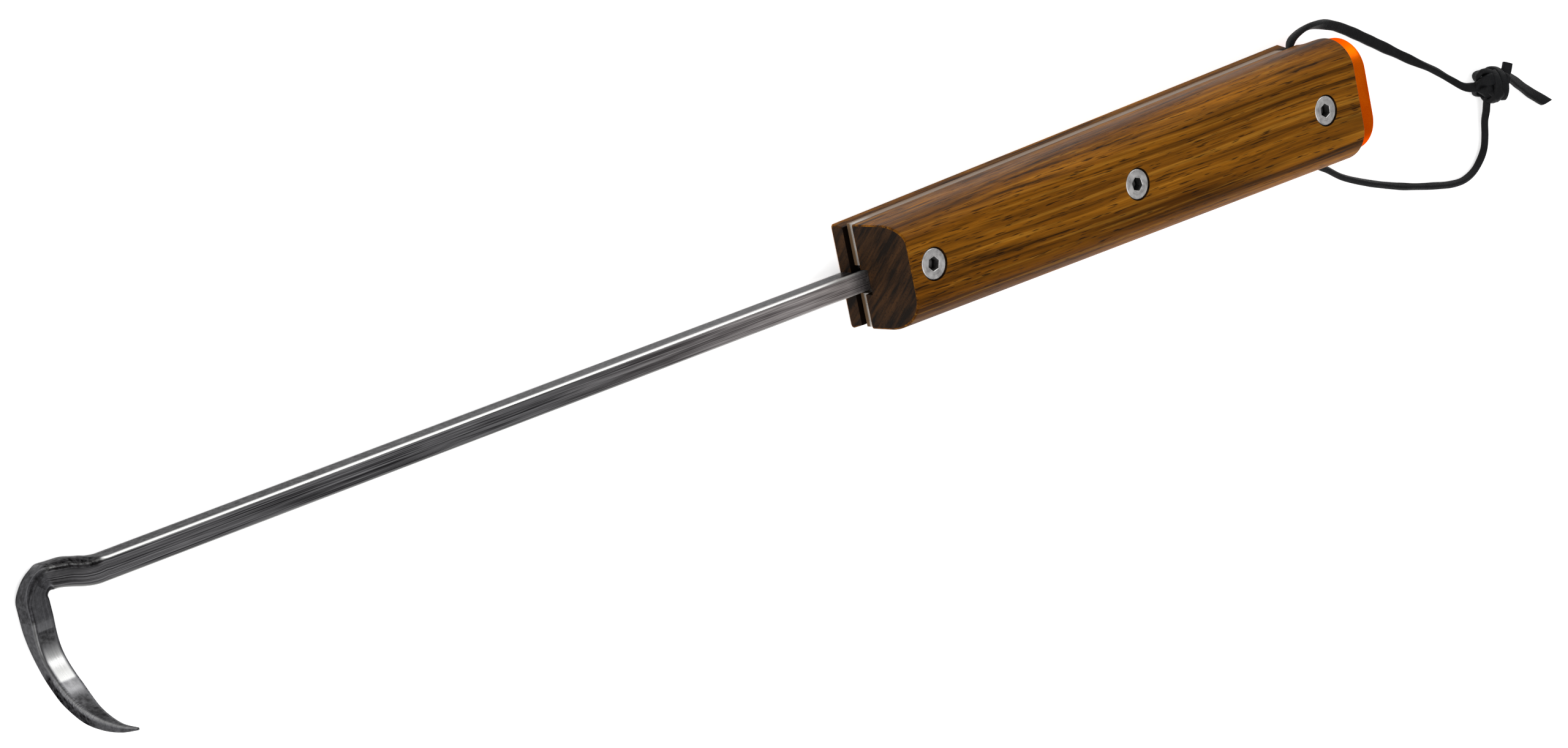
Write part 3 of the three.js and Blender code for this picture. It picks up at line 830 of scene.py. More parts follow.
@dataclass
class Studio:
    """Camera, soft light and floor."""

    place_mm: Triple = (-727.59, 222.70, 831.53)
    right: Triple = (0.738329, -0.200117, 0.644068)
    up: Triple = (0.296289, 0.954121, -0.043200)
    lens_mm: float = 101.12
    sensor_mm: float = 36.0
    clip_m: Pair = (0.05, 60.0)
    surround: float = 0.5
    floor_r: float = 9000.0
    floor_z: float = -0.12
    boxes: tuple = (
        ("overhead", (-0.45, -0.25, 0.86), 2.2, (2.6, 2.6), 36, (-0.02, 0, 0)),
        ("beyond_high", (0.606, 0.56, 0.56), 1.5, (0.5, 0.34), 4, (-0.25, 0, 0)),
        ("beyond_low", (0.606, 0.75, 0.25), 1.5, (1.3, 0.5), 4.4, (-0.1, 0, 0)),
    )

    def camera(self) -> None:
        """Sets the camera from its place and its two axes."""
        data = bpy.data.cameras.new("camera")
        data.lens, data.sensor_width, data.sensor_fit = self.lens_mm, self.sensor_mm, "HORIZONTAL"
        data.clip_start, data.clip_end = self.clip_m
        camera = bpy.data.objects.new("camera", data)
        right, up = Vector(self.right), Vector(self.up)
        turn = Matrix((right, up, right.cross(up))).transposed().to_4x4()
        camera.matrix_world = Matrix.Translation(Vector(self.place_mm) * MM) @ turn
        bpy.context.scene.collection.objects.link(camera)
        bpy.context.scene.camera = camera

    def softbox(self, name: str, way: Triple, distance: float, size: Pair, power: float, aim: Triple) -> None:
        """Hangs one soft light.

        Args:
            name: Name of the light.
            way: Direction from the tool to the light.
            distance: Metres from the aim to the light.
            size: Width and height in metres.
            power: Watts.
            aim: Point that it faces.
        """
        data = bpy.data.lights.new(name, "AREA")
        data.shape, data.size, data.size_y, data.energy = "RECTANGLE", size[0], size[1], power
        lamp = bpy.data.objects.new(name, data)
        towards = Vector(way).normalized()
        lamp.location = Vector(aim) + towards * distance
        lamp.rotation_mode = "QUATERNION"
        lamp.rotation_quaternion = (-towards).to_track_quat("-Z", "Y")
        bpy.context.scene.collection.objects.link(lamp)

    def lights(self) -> None:
        """A broad overhead light, two strips beyond the tool and an even surround."""
        for box in self.boxes:
            self.softbox(*box)
        world = bpy.data.worlds.new("surround")
        world.use_nodes = True
        back = next(n for n in world.node_tree.nodes if n.type == "BACKGROUND")
        feed(world.node_tree, back, {"Color": "#FFFFFF", "Strength": self.surround})
        bpy.context.scene.world = world
        bpy.context.scene.view_settings.view_transform = "Standard"

    def floor(self) -> None:
        """A wide flat floor just under the tool."""
        turn = round_turn(64)
        ring = grid(self.floor_r * np.cos(turn), self.floor_r * np.sin(turn), self.floor_z)
        mesh = bpy.data.meshes.new("floor")
        mesh.from_pydata((ring * MM).tolist(), [], [list(range(len(turn)))])
        mesh.materials.append(PaleFloor().material())
        floor = bpy.data.objects.new("floor", mesh)
        bpy.context.scene.collection.objects.link(floor)


@dataclass
class Lace:
    """Flat leather strip: two strands out of the handle, a knot, its tail and a stub.

    Each field that ends in _lay has two tables over the share of the length: the angle in
    degrees, where 0 lies flat and 90 stands on edge, and the factor on the width.
    """

    width: float = 3.0
    thick: float = 1.7
    upper: tuple = (
        (120.4, 0.3, 6.1), (120.4, 7, 6.1), (120.8, 12.4, 6.1), (121.1, 14.3, 6.1), (122.3, 16.0, 6.1),
        (126.0, 17.4, 5.9), (131.0, 17.8, 5.4), (136.6, 16.9, 4.4), (142.4, 15.0, 3.4), (148.2, 12.2, 2.6),
        (156.7, 7.3, 1.8), (166.1, 1.5, 1.5), (174.0, -3.4, 1.5), (180.9, -7.6, 1.6), (187.0, -12.2, 2.0),
        (190.8, -15.1, 2.8), (193.3, -15.9, 3.6), (196.4, -16.5, 4.2),
    )
    upper_lay: tuple[Keys, Keys] = (
        ((0, 0), (0.1, 0), (0.16, -80), (0.25, -70), (0.36, -12), (0.62, -8), (0.74, -30), (0.82, -50),
         (0.92, -20), (1, 0)),
        ((0, 1), (0.3, 1.0), (0.6, 1.0), (0.70, 0.9), (0.80, 0.62), (0.88, 0.64), (1, 0.9)),
    )
    lower: tuple = (
        (120.4, -0.3, 6.1), (120.4, -8, 6.1), (120.6, -15.2, 6.1), (123.0, -18.8, 5.9), (128.2, -21.9, 5.0),
        (135.0, -25.9, 3.4), (145.6, -30.5, 2.0), (155.7, -34.2, 1.5), (164.0, -36.8, 1.5), (173.0, -39.1, 1.5),
        (180.0, -40.6, 1.5), (185.2, -40.9, 1.5), (189.9, -39.7, 1.5), (193.5, -37.3, 1.5), (196.0, -34.5, 1.5),
        (197.2, -31.0, 1.6), (197.7, -26.8, 2.0), (198.0, -24.0, 2.9), (198.4, -21.3, 3.4), (199.2, -18.4, 4.0),
    )
    lower_lay: tuple[Keys, Keys] = (
        ((0, 0), (0.1, 0), (0.18, 55), (0.3, 62), (0.55, 40), (0.75, 55), (0.88, 50), (1, 30)),
        ((0, 0.95), (0.12, 0.8), (0.3, 0.62), (0.7, 0.62), (0.85, 0.66), (1, 0.7)),
    )
    tail: tuple = (
        (205.2, -14.7, 4.8), (208.4, -16.7, 3.9), (213.2, -20.0, 2.7), (218.4, -23.9, 1.8),
        (222.0, -26.5, 1.7), (225.2, -28.8, 1.7),
    )
    tail_lay: tuple[Keys, Keys] = (((0, 30), (0.4, 18), (1, 8)), ((0, 0.9), (0.4, 1.0), (1, 1.08)))
    tail_slant: float = -1.8
    stub: tuple = ((205.0, -17.0, 4.6), (206.7, -14.9, 4.9), (207.4, -13.7, 4.9), (208.0, -12.6, 4.9))
    stub_lay: tuple[Keys, Keys] = (((0, 40), (1, 20)), ((0, 0.85), (1, 0.95)))
    ear: tuple = (
        (200.5, -14.9, 5.6), (198.0, -13.1, 5.9), (196.0, -12.3, 5.2), (195.2, -13.2, 4.0),
        (196.6, -15.2, 3.4), (199.2, -16.8, 3.6),
    )
    ear_lay: tuple[Keys, Keys] = (((0, 50), (0.5, 70), (1, 50)), ((0, 1.0), (1, 1.0)))
    knot_lay: tuple[Keys, Keys] = (
        ((0, 10), (0.2, 60), (0.45, -20), (0.7, 70), (1, 10)), ((0, 1.05), (0.5, 1.2), (1, 1.05)),
    )
    knot_centre: Triple = (200.3, -17.0, 4.4)
    knot_half: Triple = (7.0, 4.7, 3.6)
    knot_turn: float = -0.27
    wrap_half: Pair = (1.45, 0.8)

    def strip(self, name: str, line: Array, lean: Keys, broad: Keys, slant: float = 0.0) -> Surface:
        """A flat strip carried along a line.

        At each point the section is a rounded rectangle: a superellipse of power 3.4 with half
        the width and half the thickness. It leans about the line by an angle from flat.

        Args:
            name: Name of the piece.
            line: Points of its middle, in millimetres.
            lean: Share of the length and angle in degrees.
            broad: Share of the length and factor on the width.
            slant: Millimetres by which one side of the far end runs on, for an oblique cut.

        Returns:
            The surface.
        """
        share = lengths(line) / lengths(line)[-1]
        along = unit(np.gradient(line, axis=0))
        level = unit(np.cross(along, (0.0, 0.0, 1.0)))
        over = unit(np.cross(level, along))
        angle = np.radians(keyed(share, lean))[:, None]
        wide = level * np.cos(angle) + over * np.sin(angle)
        deep = over * np.cos(angle) - level * np.sin(angle)
        a, b = squared(round_turn(28), 2 / 3.4)
        half = self.width / 2 * keyed(share, broad) * (1 + 0.05 * fields_noise(line, 4, 9.0))
        points = line[:, None] + (wide * half[:, None])[:, None] * a[:, None]
        points = points + deep[:, None] * b[:, None] * self.thick / 2
        cut = a * slant * smooth((share[:, None] - 0.85) / 0.15)
        return Surface(name, points + along[:, None] * cut[..., None], crease_deg=50)

    def build_cords(self, leather: Material) -> None:
        """Args:
            leather: Finish of every piece.
        """
        upper, lower = spline(self.upper, 150), spline(self.lower, 170)
        plan = (
            ("lace_upper", self.strip("lace_upper_strand", upper, *self.upper_lay)),
            ("lace_lower", self.strip("lace_lower_strand", lower, *self.lower_lay)),
            ("lace_tail", self.strip("lace_tail_end", spline(self.tail, 40), *self.tail_lay, self.tail_slant)),
            ("lace_stub", self.strip("lace_stub_end", spline(self.stub, 16), *self.stub_lay)),
            ("lace_knot", self.knot("lace_overhand_knot")),
            ("lace_knot", self.core("lace_knot_heart")),
            ("lace_knot", self.wrap("lace_knot_wrap")),
            ("lace_knot", self.strip("lace_knot_ear", spline(self.ear, 30), *self.ear_lay)),
        )
        strand_up, strand_down, tail, stub, *knot = (
            enter(surface.build([leather]), Finish.LEATHER, node) for node, surface in plan
        )

    def knot_frame(self, local: Array) -> Array:
        """Turns points about the knot's own axes into the tool's frame.

        Args:
            local: Points from the knot's middle.

        Returns:
            The points, in millimetres.
        """
        c, s = math.cos(self.knot_turn), math.sin(self.knot_turn)
        x, y, z = local[..., 0], local[..., 1], local[..., 2]
        return grid(x * c - y * s, x * s + y * c, z) + self.knot_centre

    def knot(self, name: str) -> Surface:
        """The doubled strip tied over itself.

        The middle follows an open trefoil: across is sin t + 2 sin 2t, up is cos t - 2 cos 2t
        and through is -sin 3t, each brought to the knot's half sizes less half a strip.

        Args:
            name: Name of the piece.

        Returns:
            The surface.
        """
        t = np.linspace(0.35, 2 * np.pi + 0.1, 220)
        local = grid((np.cos(t) - 2 * np.cos(2 * t)) / 3, (np.sin(t) + 2 * np.sin(2 * t)) / 2.6, -np.sin(3 * t))
        inner = np.array(self.knot_half) - (1.7, 1.4, 0.9)
        return self.strip(name, self.knot_frame(local * inner), *self.knot_lay)

    def core(self, name: str) -> Surface:
        """The heart of the knot: a lumpy egg that fills the room between the turns.

        Args:
            name: Name of the piece.

        Returns:
            The surface.
        """
        lat = np.linspace(0.04, np.pi - 0.04, 40)[:, None]
        turn = round_turn(56)
        local = grid(-np.cos(lat), np.sin(lat) * np.cos(turn), np.sin(lat) * np.sin(turn))
        local = local * self.knot_half * 0.8
        lumps = 1 + 0.09 * fields_noise(local, 7, 5.0)[..., None]
        return Surface(name, self.knot_frame(local * lumps), crease_deg=80)

    def wrap(self, name: str) -> Surface:
        """A turn and a quarter of the strip round the knot's waist, as a short coil.

        Args:
            name: Name of the piece.

        Returns:
            The surface.
        """
        t = np.linspace(-0.4, 1.25 * 2 * np.pi, 130)
        r_y, r_z = self.knot_half[1] - 0.2, self.knot_half[2] - 0.3
        local = grid(-1.6 + 3.6 * (t / t[-1]) + 0.5 * np.sin(t), r_y * np.cos(t + 1.0), r_z * np.sin(t + 1.0))
        line = self.knot_frame(local)
        along = unit(np.gradient(line, axis=0))
        out = unit(line - self.knot_frame(local * (1, 0, 0)))
        wide = unit(np.cross(along, out))
        deep = unit(np.cross(wide, along))
        a, b = squared(round_turn(24), 0.6)
        points = line[:, None] + wide[:, None] * (a * self.wrap_half[0])[:, None]
        return Surface(name, points + deep[:, None] * (b * self.wrap_half[1])[:, None], crease_deg=50)


@dataclass
class Handle:
    """Two wooden scales over a steel plate, with the recess for the bar.

    A pair gives the value at the front of the wood and at its butt.
    """

    length: float = 166.2
    front_x: float = -43.85
    near_z: float = 27.3
    front_z: float = 7.9
    back_t: float = 4.3
    spine: Pair = (11.8, 14.9)
    belly: Pair = (15.2, 17.2)
    crown: float = 1.7
    top_round: tuple[Pair, Pair] = ((4.7, 8.2), (9.2, 8.6))
    low_round: tuple[Pair, Pair] = ((8.8, 9.4), (12.2, 10.4))
    inner_round: float = 0.4
    back_round: float = 0.8
    butt_edge: float = 0.6
    slab_edge: float = 0.25
    front_edge: float = 0.4
    recess_x: float = 9.0
    recess_y: Pair = (-6.3, 0.2)
    recess_z: float = 2.8
    screws: Triple = (-36.25, 36.25, 108.75)

    def sides(self, x: Array, inset: Array) -> tuple[Array, Array, Array]:
        """Where the spine and the belly lie at each station.

        Args:
            x: Stations along the handle.
            inset: How far each station is drawn in.

        Returns:
            Share of the way to the butt, Y of the spine and Y of the belly, as columns.
        """
        s = (x[:, None] - self.front_x) / self.length
        return s, mix(*self.spine, s) - inset[:, None], inset[:, None] - mix(*self.belly, s)

    def section(self, x: Array, inset: Array, low_z: float, low_round: float) -> Array:
        """Outline across the handle at each x, from low_z up to the near face.

        The two upper corners are quarter ellipses, the lower ones quarter circles, and the
        spine leans out by the crown with a smooth step; every side is drawn in by the inset.

        Args:
            x: Stations along the handle.
            inset: How far each station is drawn in.
            low_z: Height of the underside.
            low_round: Radius of the lower corners.

        Returns:
            Points as (stations, columns, 3).
        """
        s, spine, belly = self.sides(x, inset)
        crown = self.crown * np.maximum(0, s)
        top, low = self.near_z - inset[:, None], low_z + inset[:, None] + low_round
        top_y, top_z = (mix(*ends, s) for ends in self.top_round)
        low_y, low_zz = (mix(*ends, s) for ends in self.low_round)
        small = (low_round, low_round)
        rise = np.linspace(0.06, 0.94, 12)[None, :]
        flat = np.linspace(0.04, 0.96, 18)[None, :]
        return outline(x, [
            arc((spine - low_round, low), small, -1, 5),
            (spine + crown * smooth(rise), mix(low, top - top_z, rise)),
            arc((spine + crown - top_y, top - top_z), (top_y, top_z), 0, 22),
            (mix(spine + crown - top_y, belly + low_y, flat), top + 0 * flat),
            arc((belly + low_y, top - low_zz), (low_y, low_zz), 1, 24),
            (belly + 0 * rise, mix(top - low_zz, low, rise)),
            arc((belly + low_round, low), small, 2, 5),
        ])

    def back_section(self, x: Array, inset: Array) -> Array:
        """Outline across the flat back slab: square inner edges and small outer rounds.

        Args:
            x: Stations along the handle.
            inset: How far each station is drawn in.

        Returns:
            Points as (stations, columns, 3).
        """
        _, spine, belly = self.sides(x, inset)
        r, low = self.back_round, inset[:, None]
        flat = np.linspace(0.03, 0.97, 14)[None, :]
        return outline(x, [
            (mix(spine, belly, flat), self.back_t + 0 * flat),
            arc((belly + r, low + r), (r, r), 2, 7),
            (mix(belly + r, spine - r, flat), low + 0 * flat),
            arc((spine - r, low + r), (r, r), 3, 7),
        ])

    def stations(self, butt_edge: float) -> tuple[Array, Array]:
        """Places along the wood and how far each is drawn in: a quarter circle at each end.

        Args:
            butt_edge: Radius of the round at the butt.

        Returns:
            X of each station, and its inset.
        """
        turn = np.linspace(0, np.pi / 2, 6)
        out, along = 1 - np.cos(turn), 1 - np.sin(turn)
        x0, x1 = self.front_x, self.front_x + self.length
        middle = np.linspace(x0 + 3, x1 - 3, 46)
        x = np.concatenate([x0 + self.front_edge * out, middle, x1 - butt_edge * out[::-1]])
        return x, np.concatenate([self.front_edge * along, 0 * middle, butt_edge * along[::-1]])

    def screw_holes(self, screw: "SocketScrew", lining: Material) -> list[Object]:
        """The tools that open the wood for every screw and nut."""
        return [screw.hole(f"hole_at_{x:.0f}", (x, 0.0)).build([lining]) for x in self.screws]

    def build(self, screw: "SocketScrew", cap: "ButtCap") -> None:
        """Makes both scales and dresses the plate.

        Args:
            screw: The screws to leave room for.
            cap: The cap whose screws need room.
        """
        wood, ends = OiledWood().material(), OiledWood(Cut.END_GRAIN).material()
        points = self.section(*self.stations(self.butt_edge), self.front_z, self.inner_round)
        near = Surface("near_scale", points, end_slot=1, crease_deg=40).build([wood, ends])
        recess = block(
            "recess", (self.front_x - CLEAR, self.recess_y[0], self.front_z - CLEAR),
            (self.front_x + self.recess_x, self.recess_y[1], self.front_z + self.recess_z),
        )
        tools = [*self.screw_holes(screw, ends), recess.build([ends]), *cap.screw_holes(ends)]
        enter(carve(near, tools), Finish.WOOD, "front_scale")
        points = self.back_section(*self.stations(self.slab_edge))
        # The inner face is marked for painted shade.
        inner = (points[..., 2] > self.back_t - 0.01) * 1.0
        back = Surface("back_slab", points, {"inner": inner}, end_slot=1, crease_deg=40)
        slab = back.build([OiledWood(shift=0.31).material(), ends])
        enter(carve(slab, self.screw_holes(screw, ends)), Finish.WOOD, "back_scale")
        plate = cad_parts["tang_plate"]
        plate.data.materials.clear()
        plate.data.materials.append(GroundPlateSteel().material())
        log.info("tang_plate: dressed")

    def weld(self) -> None:
        """Replaces the bead's plain bar with a rippled one of the same size.

        The half width and height swell and fall with the sine of the distance along it.
        """
        low, high = (np.array(v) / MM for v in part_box("weld_bead"))
        mid, half = (low + high) / 2, (high - low) / 2
        t = np.linspace(0, 1, 60)[:, None]
        ends = np.sqrt(np.clip(1 - (2 * t - 1) ** 8, 0.05, 1))
        swell = (0.88 + 0.12 * np.abs(np.sin(t * np.pi * 4))) * ends
        a, b = squared(round_turn(32), 0.7)
        points = grid(mix(low[0], high[0], t), mid[1] + half[1] * swell * a, mid[2] + half[2] * swell * b)
        bead = Surface("rippled_weld_bead", points, crease_deg=60)
        enter(bead.build([WeldSteel().material()]), Finish.WELD, "weld_bead")


@dataclass
class SocketScrew:
    """Countersunk socket screw and the sleeve nut that it screws into."""

    head_d: float = 8.0
    shank_d: float = 4.0
    sunk: float = 0.2
    ring: float = 0.25
    land: float = 0.9
    hex_flats: float = 3.2
    hex_depth: float = 2.6
    near_z: float = 27.3
    nut_d: float = 6.0
    nut_head_d: float = 8.4
    nut_low: float = 0.35
    nut_length: float = 10.6
    nut_floor: float = 1.9
    gap: float = 0.3
    turns_deg: Triple = (12, 40, 25)

    def hole(self, name: str, centre: Pair) -> Surface:
        """Stepped hole for the head, the shank, the sleeve and its foot.

        Args:
            name: Name of the tool.
            centre: X and Y of its axis.

        Returns:
            The surface.
        """
        ring, bore = self.head_d / 2 + self.ring, self.shank_d / 2 + self.gap
        sleeve, foot = self.nut_d / 2 + self.gap, self.nut_head_d / 2 + self.gap
        cone = self.near_z - self.sunk - self.land
        nut_top = self.nut_low + self.nut_length + self.gap
        low, top = self.nut_low + 0.5, self.near_z + 3
        return turned(name, [
            (0, -CLEAR), (foot, -CLEAR), (foot, low), (sleeve, low + foot - sleeve), (sleeve, nut_top),
            (bore, nut_top), (bore, cone - (ring - bore)), (ring, cone), (ring, top), (0, top),
        ], centre, 72)

    def head_rings(self, r: float, top: float, tip: float, shank: float, flats: float, depth: float) -> Array:
        """Rings of a socket head screw, from the tip up over the head and down the socket.

        Args:
            r: Radius of the head.
            top: Height of its face.
            tip: Height of the screw's tip.
            shank: Radius of the shank.
            flats: Width of the socket across flats.
            depth: Depth of the socket.

        Returns:
            Rows of each ring's radius, its share of hexagon, and its height.
        """
        h = flats / math.sqrt(3)
        return np.array([
            (POINT, 0, tip), (shank - 0.5, 0, tip), (shank, 0, tip + 0.5), (shank, 0, top - 0.35 - (r - shank)),
            (r - 0.04, 0, top - 0.39), (r, 0, top - 0.33), (r, 0, top - 0.28), (r - 0.05, 0, top - 0.2),
            (r - 0.17, 0, top - 0.07), (r - 0.27, 0, top - 0.015), (r - 0.4, 0, top), (r * 0.78, 0, top),
            (r * 0.66, 0, top), (h + 0.36, 0.2, top), (h + 0.2, 0.55, top - 0.01), (h + 0.1, 0.85, top - 0.03),
            (h + 0.03, 1, top - 0.1), (h, 1, top - 0.2), (h, 1, top - depth + 0.3), (h, 1, top - depth),
            (h * 0.8, 0.6, top - depth - 0.06), (0.3, 0, top - depth - 0.55), (POINT, 0, top - depth - 0.7),
        ])

    def hex_turned(self, name: str, rings: Array, centre: Pair, turn_deg: float) -> Surface:
        """Rings that blend from circles to hexagons, about an upright axis.

        A hexagon's radius at an angle is half its flats over the cosine of the angle from the
        nearest flat. Each ring is a blend of a circle and that hexagon. The socket is darkened
        with painted shade over its first 0.7 mm down.

        Args:
            name: Name of the piece.
            rings: Rows of radius, share of hexagon and height.
            centre: X and Y of the axis.
            turn_deg: Turn of the hexagon in degrees.

        Returns:
            The surface.
        """
        radius, share, height = rings.T[..., None]
        turn = round_turn(96)
        off = np.mod(turn - math.radians(turn_deg), np.pi / 3) - np.pi / 6
        r = radius * mix(1.0, math.cos(math.pi / 6) / np.cos(off), share)
        last = np.arange(len(share))[:, None] > len(share) / 2
        # Painted shade down the socket's first 0.7 mm.
        socket_shade = last * np.clip((height[share == 1].max() - height) / 0.7, 0, 1) * 0.92
        points = grid(centre[0] + r * np.cos(turn), centre[1] + r * np.sin(turn), height)
        return Surface(name, points, {"socket_shade": socket_shade}, crease_deg=28)

    def rolled(self, made: Surface, steel: Material, node: str) -> None:
        """Builds a turned piece with U along its profile, so that marks run round the axis.

        Args:
            made: Its surface.
            steel: Its finish.
            node: CAD node that it replaces.
        """
        step = np.linalg.norm(np.diff(made.points * MM, axis=0), axis=2).mean(1)
        u = np.concatenate([[0], np.cumsum(step)])[:, None]
        v = np.linspace(0, 1, made.points.shape[1] + 1) * 0.01
        enter(made.build([steel], np.stack(np.broadcast_arrays(u, v), axis=2)), Finish.SCREW, node)

    def nut(self, name: str, centre: Pair) -> Surface:
        """Sleeve nut with a low flush head, a small bevel and a blind bore.

        Args:
            name: Name of the piece.
            centre: X and Y of its axis.

        Returns:
            The surface.
        """
        r, head, low = self.nut_d / 2, self.nut_head_d / 2, self.nut_low
        top, bore, bottom = low + self.nut_length, self.shank_d / 2 + self.gap, low + self.nut_floor
        return turned(name, [
            (POINT, low), (head * 0.4, low), (head - 0.25, low), (head - 0.06, low + 0.06), (head, low + 0.25),
            (head, low + 0.4), (r, low + 0.4 + head - r), (r, top - 0.2), (r - 0.15, top), (bore, top),
            (bore, bottom), (POINT, bottom),
        ], centre)

    def build(self, steel: Material) -> None:
        """Sets every screw and nut in the handle.

        Args:
            steel: Finish of all of them.
        """
        tip = self.nut_low + self.nut_floor + 0.6
        size = (self.head_d / 2, self.near_z - self.sunk, tip, self.shank_d / 2, self.hex_flats, self.hex_depth)
        rings = self.head_rings(*size)
        for index, (x, turn_deg) in enumerate(zip(Handle().screws, self.turns_deg), start=1):
            screw = self.hex_turned(f"socket_screw_{index}", rings, (x, 0.0), turn_deg)
            self.rolled(screw, steel, f"handle_screw_{index}")
            self.rolled(self.nut(f"flush_nut_{index}", (x, 0.0)), steel, f"sleeve_nut_{index}")


@dataclass
class ButtCap:
    """Orange end cap and the two small screws that hold it."""

    thick: float = 5.6
    gap: float = 0.3
    inset: float = 1.2
    edge: float = 1.4
    back_round: float = 6.0
    screw_y: float = 8.5
    screw_head_d: float = 6.4
    screw_d: float = 3.2
    screw_length: float = 18.0
    screw_land: float = 0.6
    sunk: float = 0.3
    hex_flats: float = 2.0
    hex_depth: float = 1.3
    turn_deg: float = 10.0

    def ends(self) -> Triple:
        """X of the wood's butt, of the cap's inner face and of its outer face."""
        butt = Handle().front_x + Handle().length
        return butt, butt + self.gap, butt + self.gap + self.thick

    def along_x(self, made: Surface, y: float) -> Surface:
        """Lays a piece made along Z to lie along X, halfway up the handle.

        Args:
            made: The piece, changed in place.
            y: Y of its axis.

        Returns:
            The same piece.
        """
        p = made.points
        made.points = grid(p[..., 2], y + p[..., 1], Handle().near_z / 2 - p[..., 0])
        return made

    def screw_holes(self, lining: Material) -> list[Object]:
        """The tools that open the wood and the cap for the cap's screws.

        Args:
            lining: Finish that the cut shows.

        Returns:
            One tool for each screw.
        """
        r, thin = self.screw_head_d / 2 + self.gap, self.screw_d / 2 + self.gap
        top = self.ends()[2]
        cone, deep = top - self.screw_land, top - self.screw_length - 1
        profile = [(0, deep), (thin, deep), (thin, cone - (r - thin)), (r, cone), (r, top + 1), (0, top + 1)]
        return [
            self.along_x(turned(f"cap_hole_{y:.0f}", profile, (0, 0), 56), y).build([lining])
            for y in (self.screw_y, -self.screw_y)
        ]

    def build(self, steel: Material) -> None:
        """Makes the cap, with a rounded outer edge, and its screws.

        Args:
            steel: Finish of the screws.
        """
        butt, x0, x1 = self.ends()
        turn = np.linspace(0, np.pi / 2, 9)
        middle = np.linspace(x0 + 0.8, x1 - self.edge - 0.4, 5)
        x = np.concatenate([[x0, x0 + 0.08, x0 + 0.3], middle, x1 - self.edge * (1 - np.sin(turn))])
        inset = np.concatenate([[0.25, 0.08, 0.0], 0 * middle, self.edge * (1 - np.cos(turn))]) + self.inset
        points = Handle().section(np.full(len(x), butt), inset, 0.0, self.back_round)
        points[..., 0] = x[:, None]
        orange = OrangeAnodised().material()
        cap = Surface("butt_end_cap", points, crease_deg=40).build([orange])
        enter(carve(cap, self.screw_holes(orange)), Finish.CAP, "butt_cap")
        maker, top = SocketScrew(), x1 - self.sunk
        size = (self.screw_head_d / 2, top, top - self.screw_length, self.screw_d / 2)
        rings = maker.head_rings(*size, self.hex_flats, self.hex_depth)
        for index, y in enumerate((self.screw_y, -self.screw_y), start=1):
            made = maker.hex_turned(f"cap_socket_screw_{index}", rings, (0, 0), self.turn_deg)
            maker.rolled(self.along_x(made, y), steel, f"cap_screw_{index}")


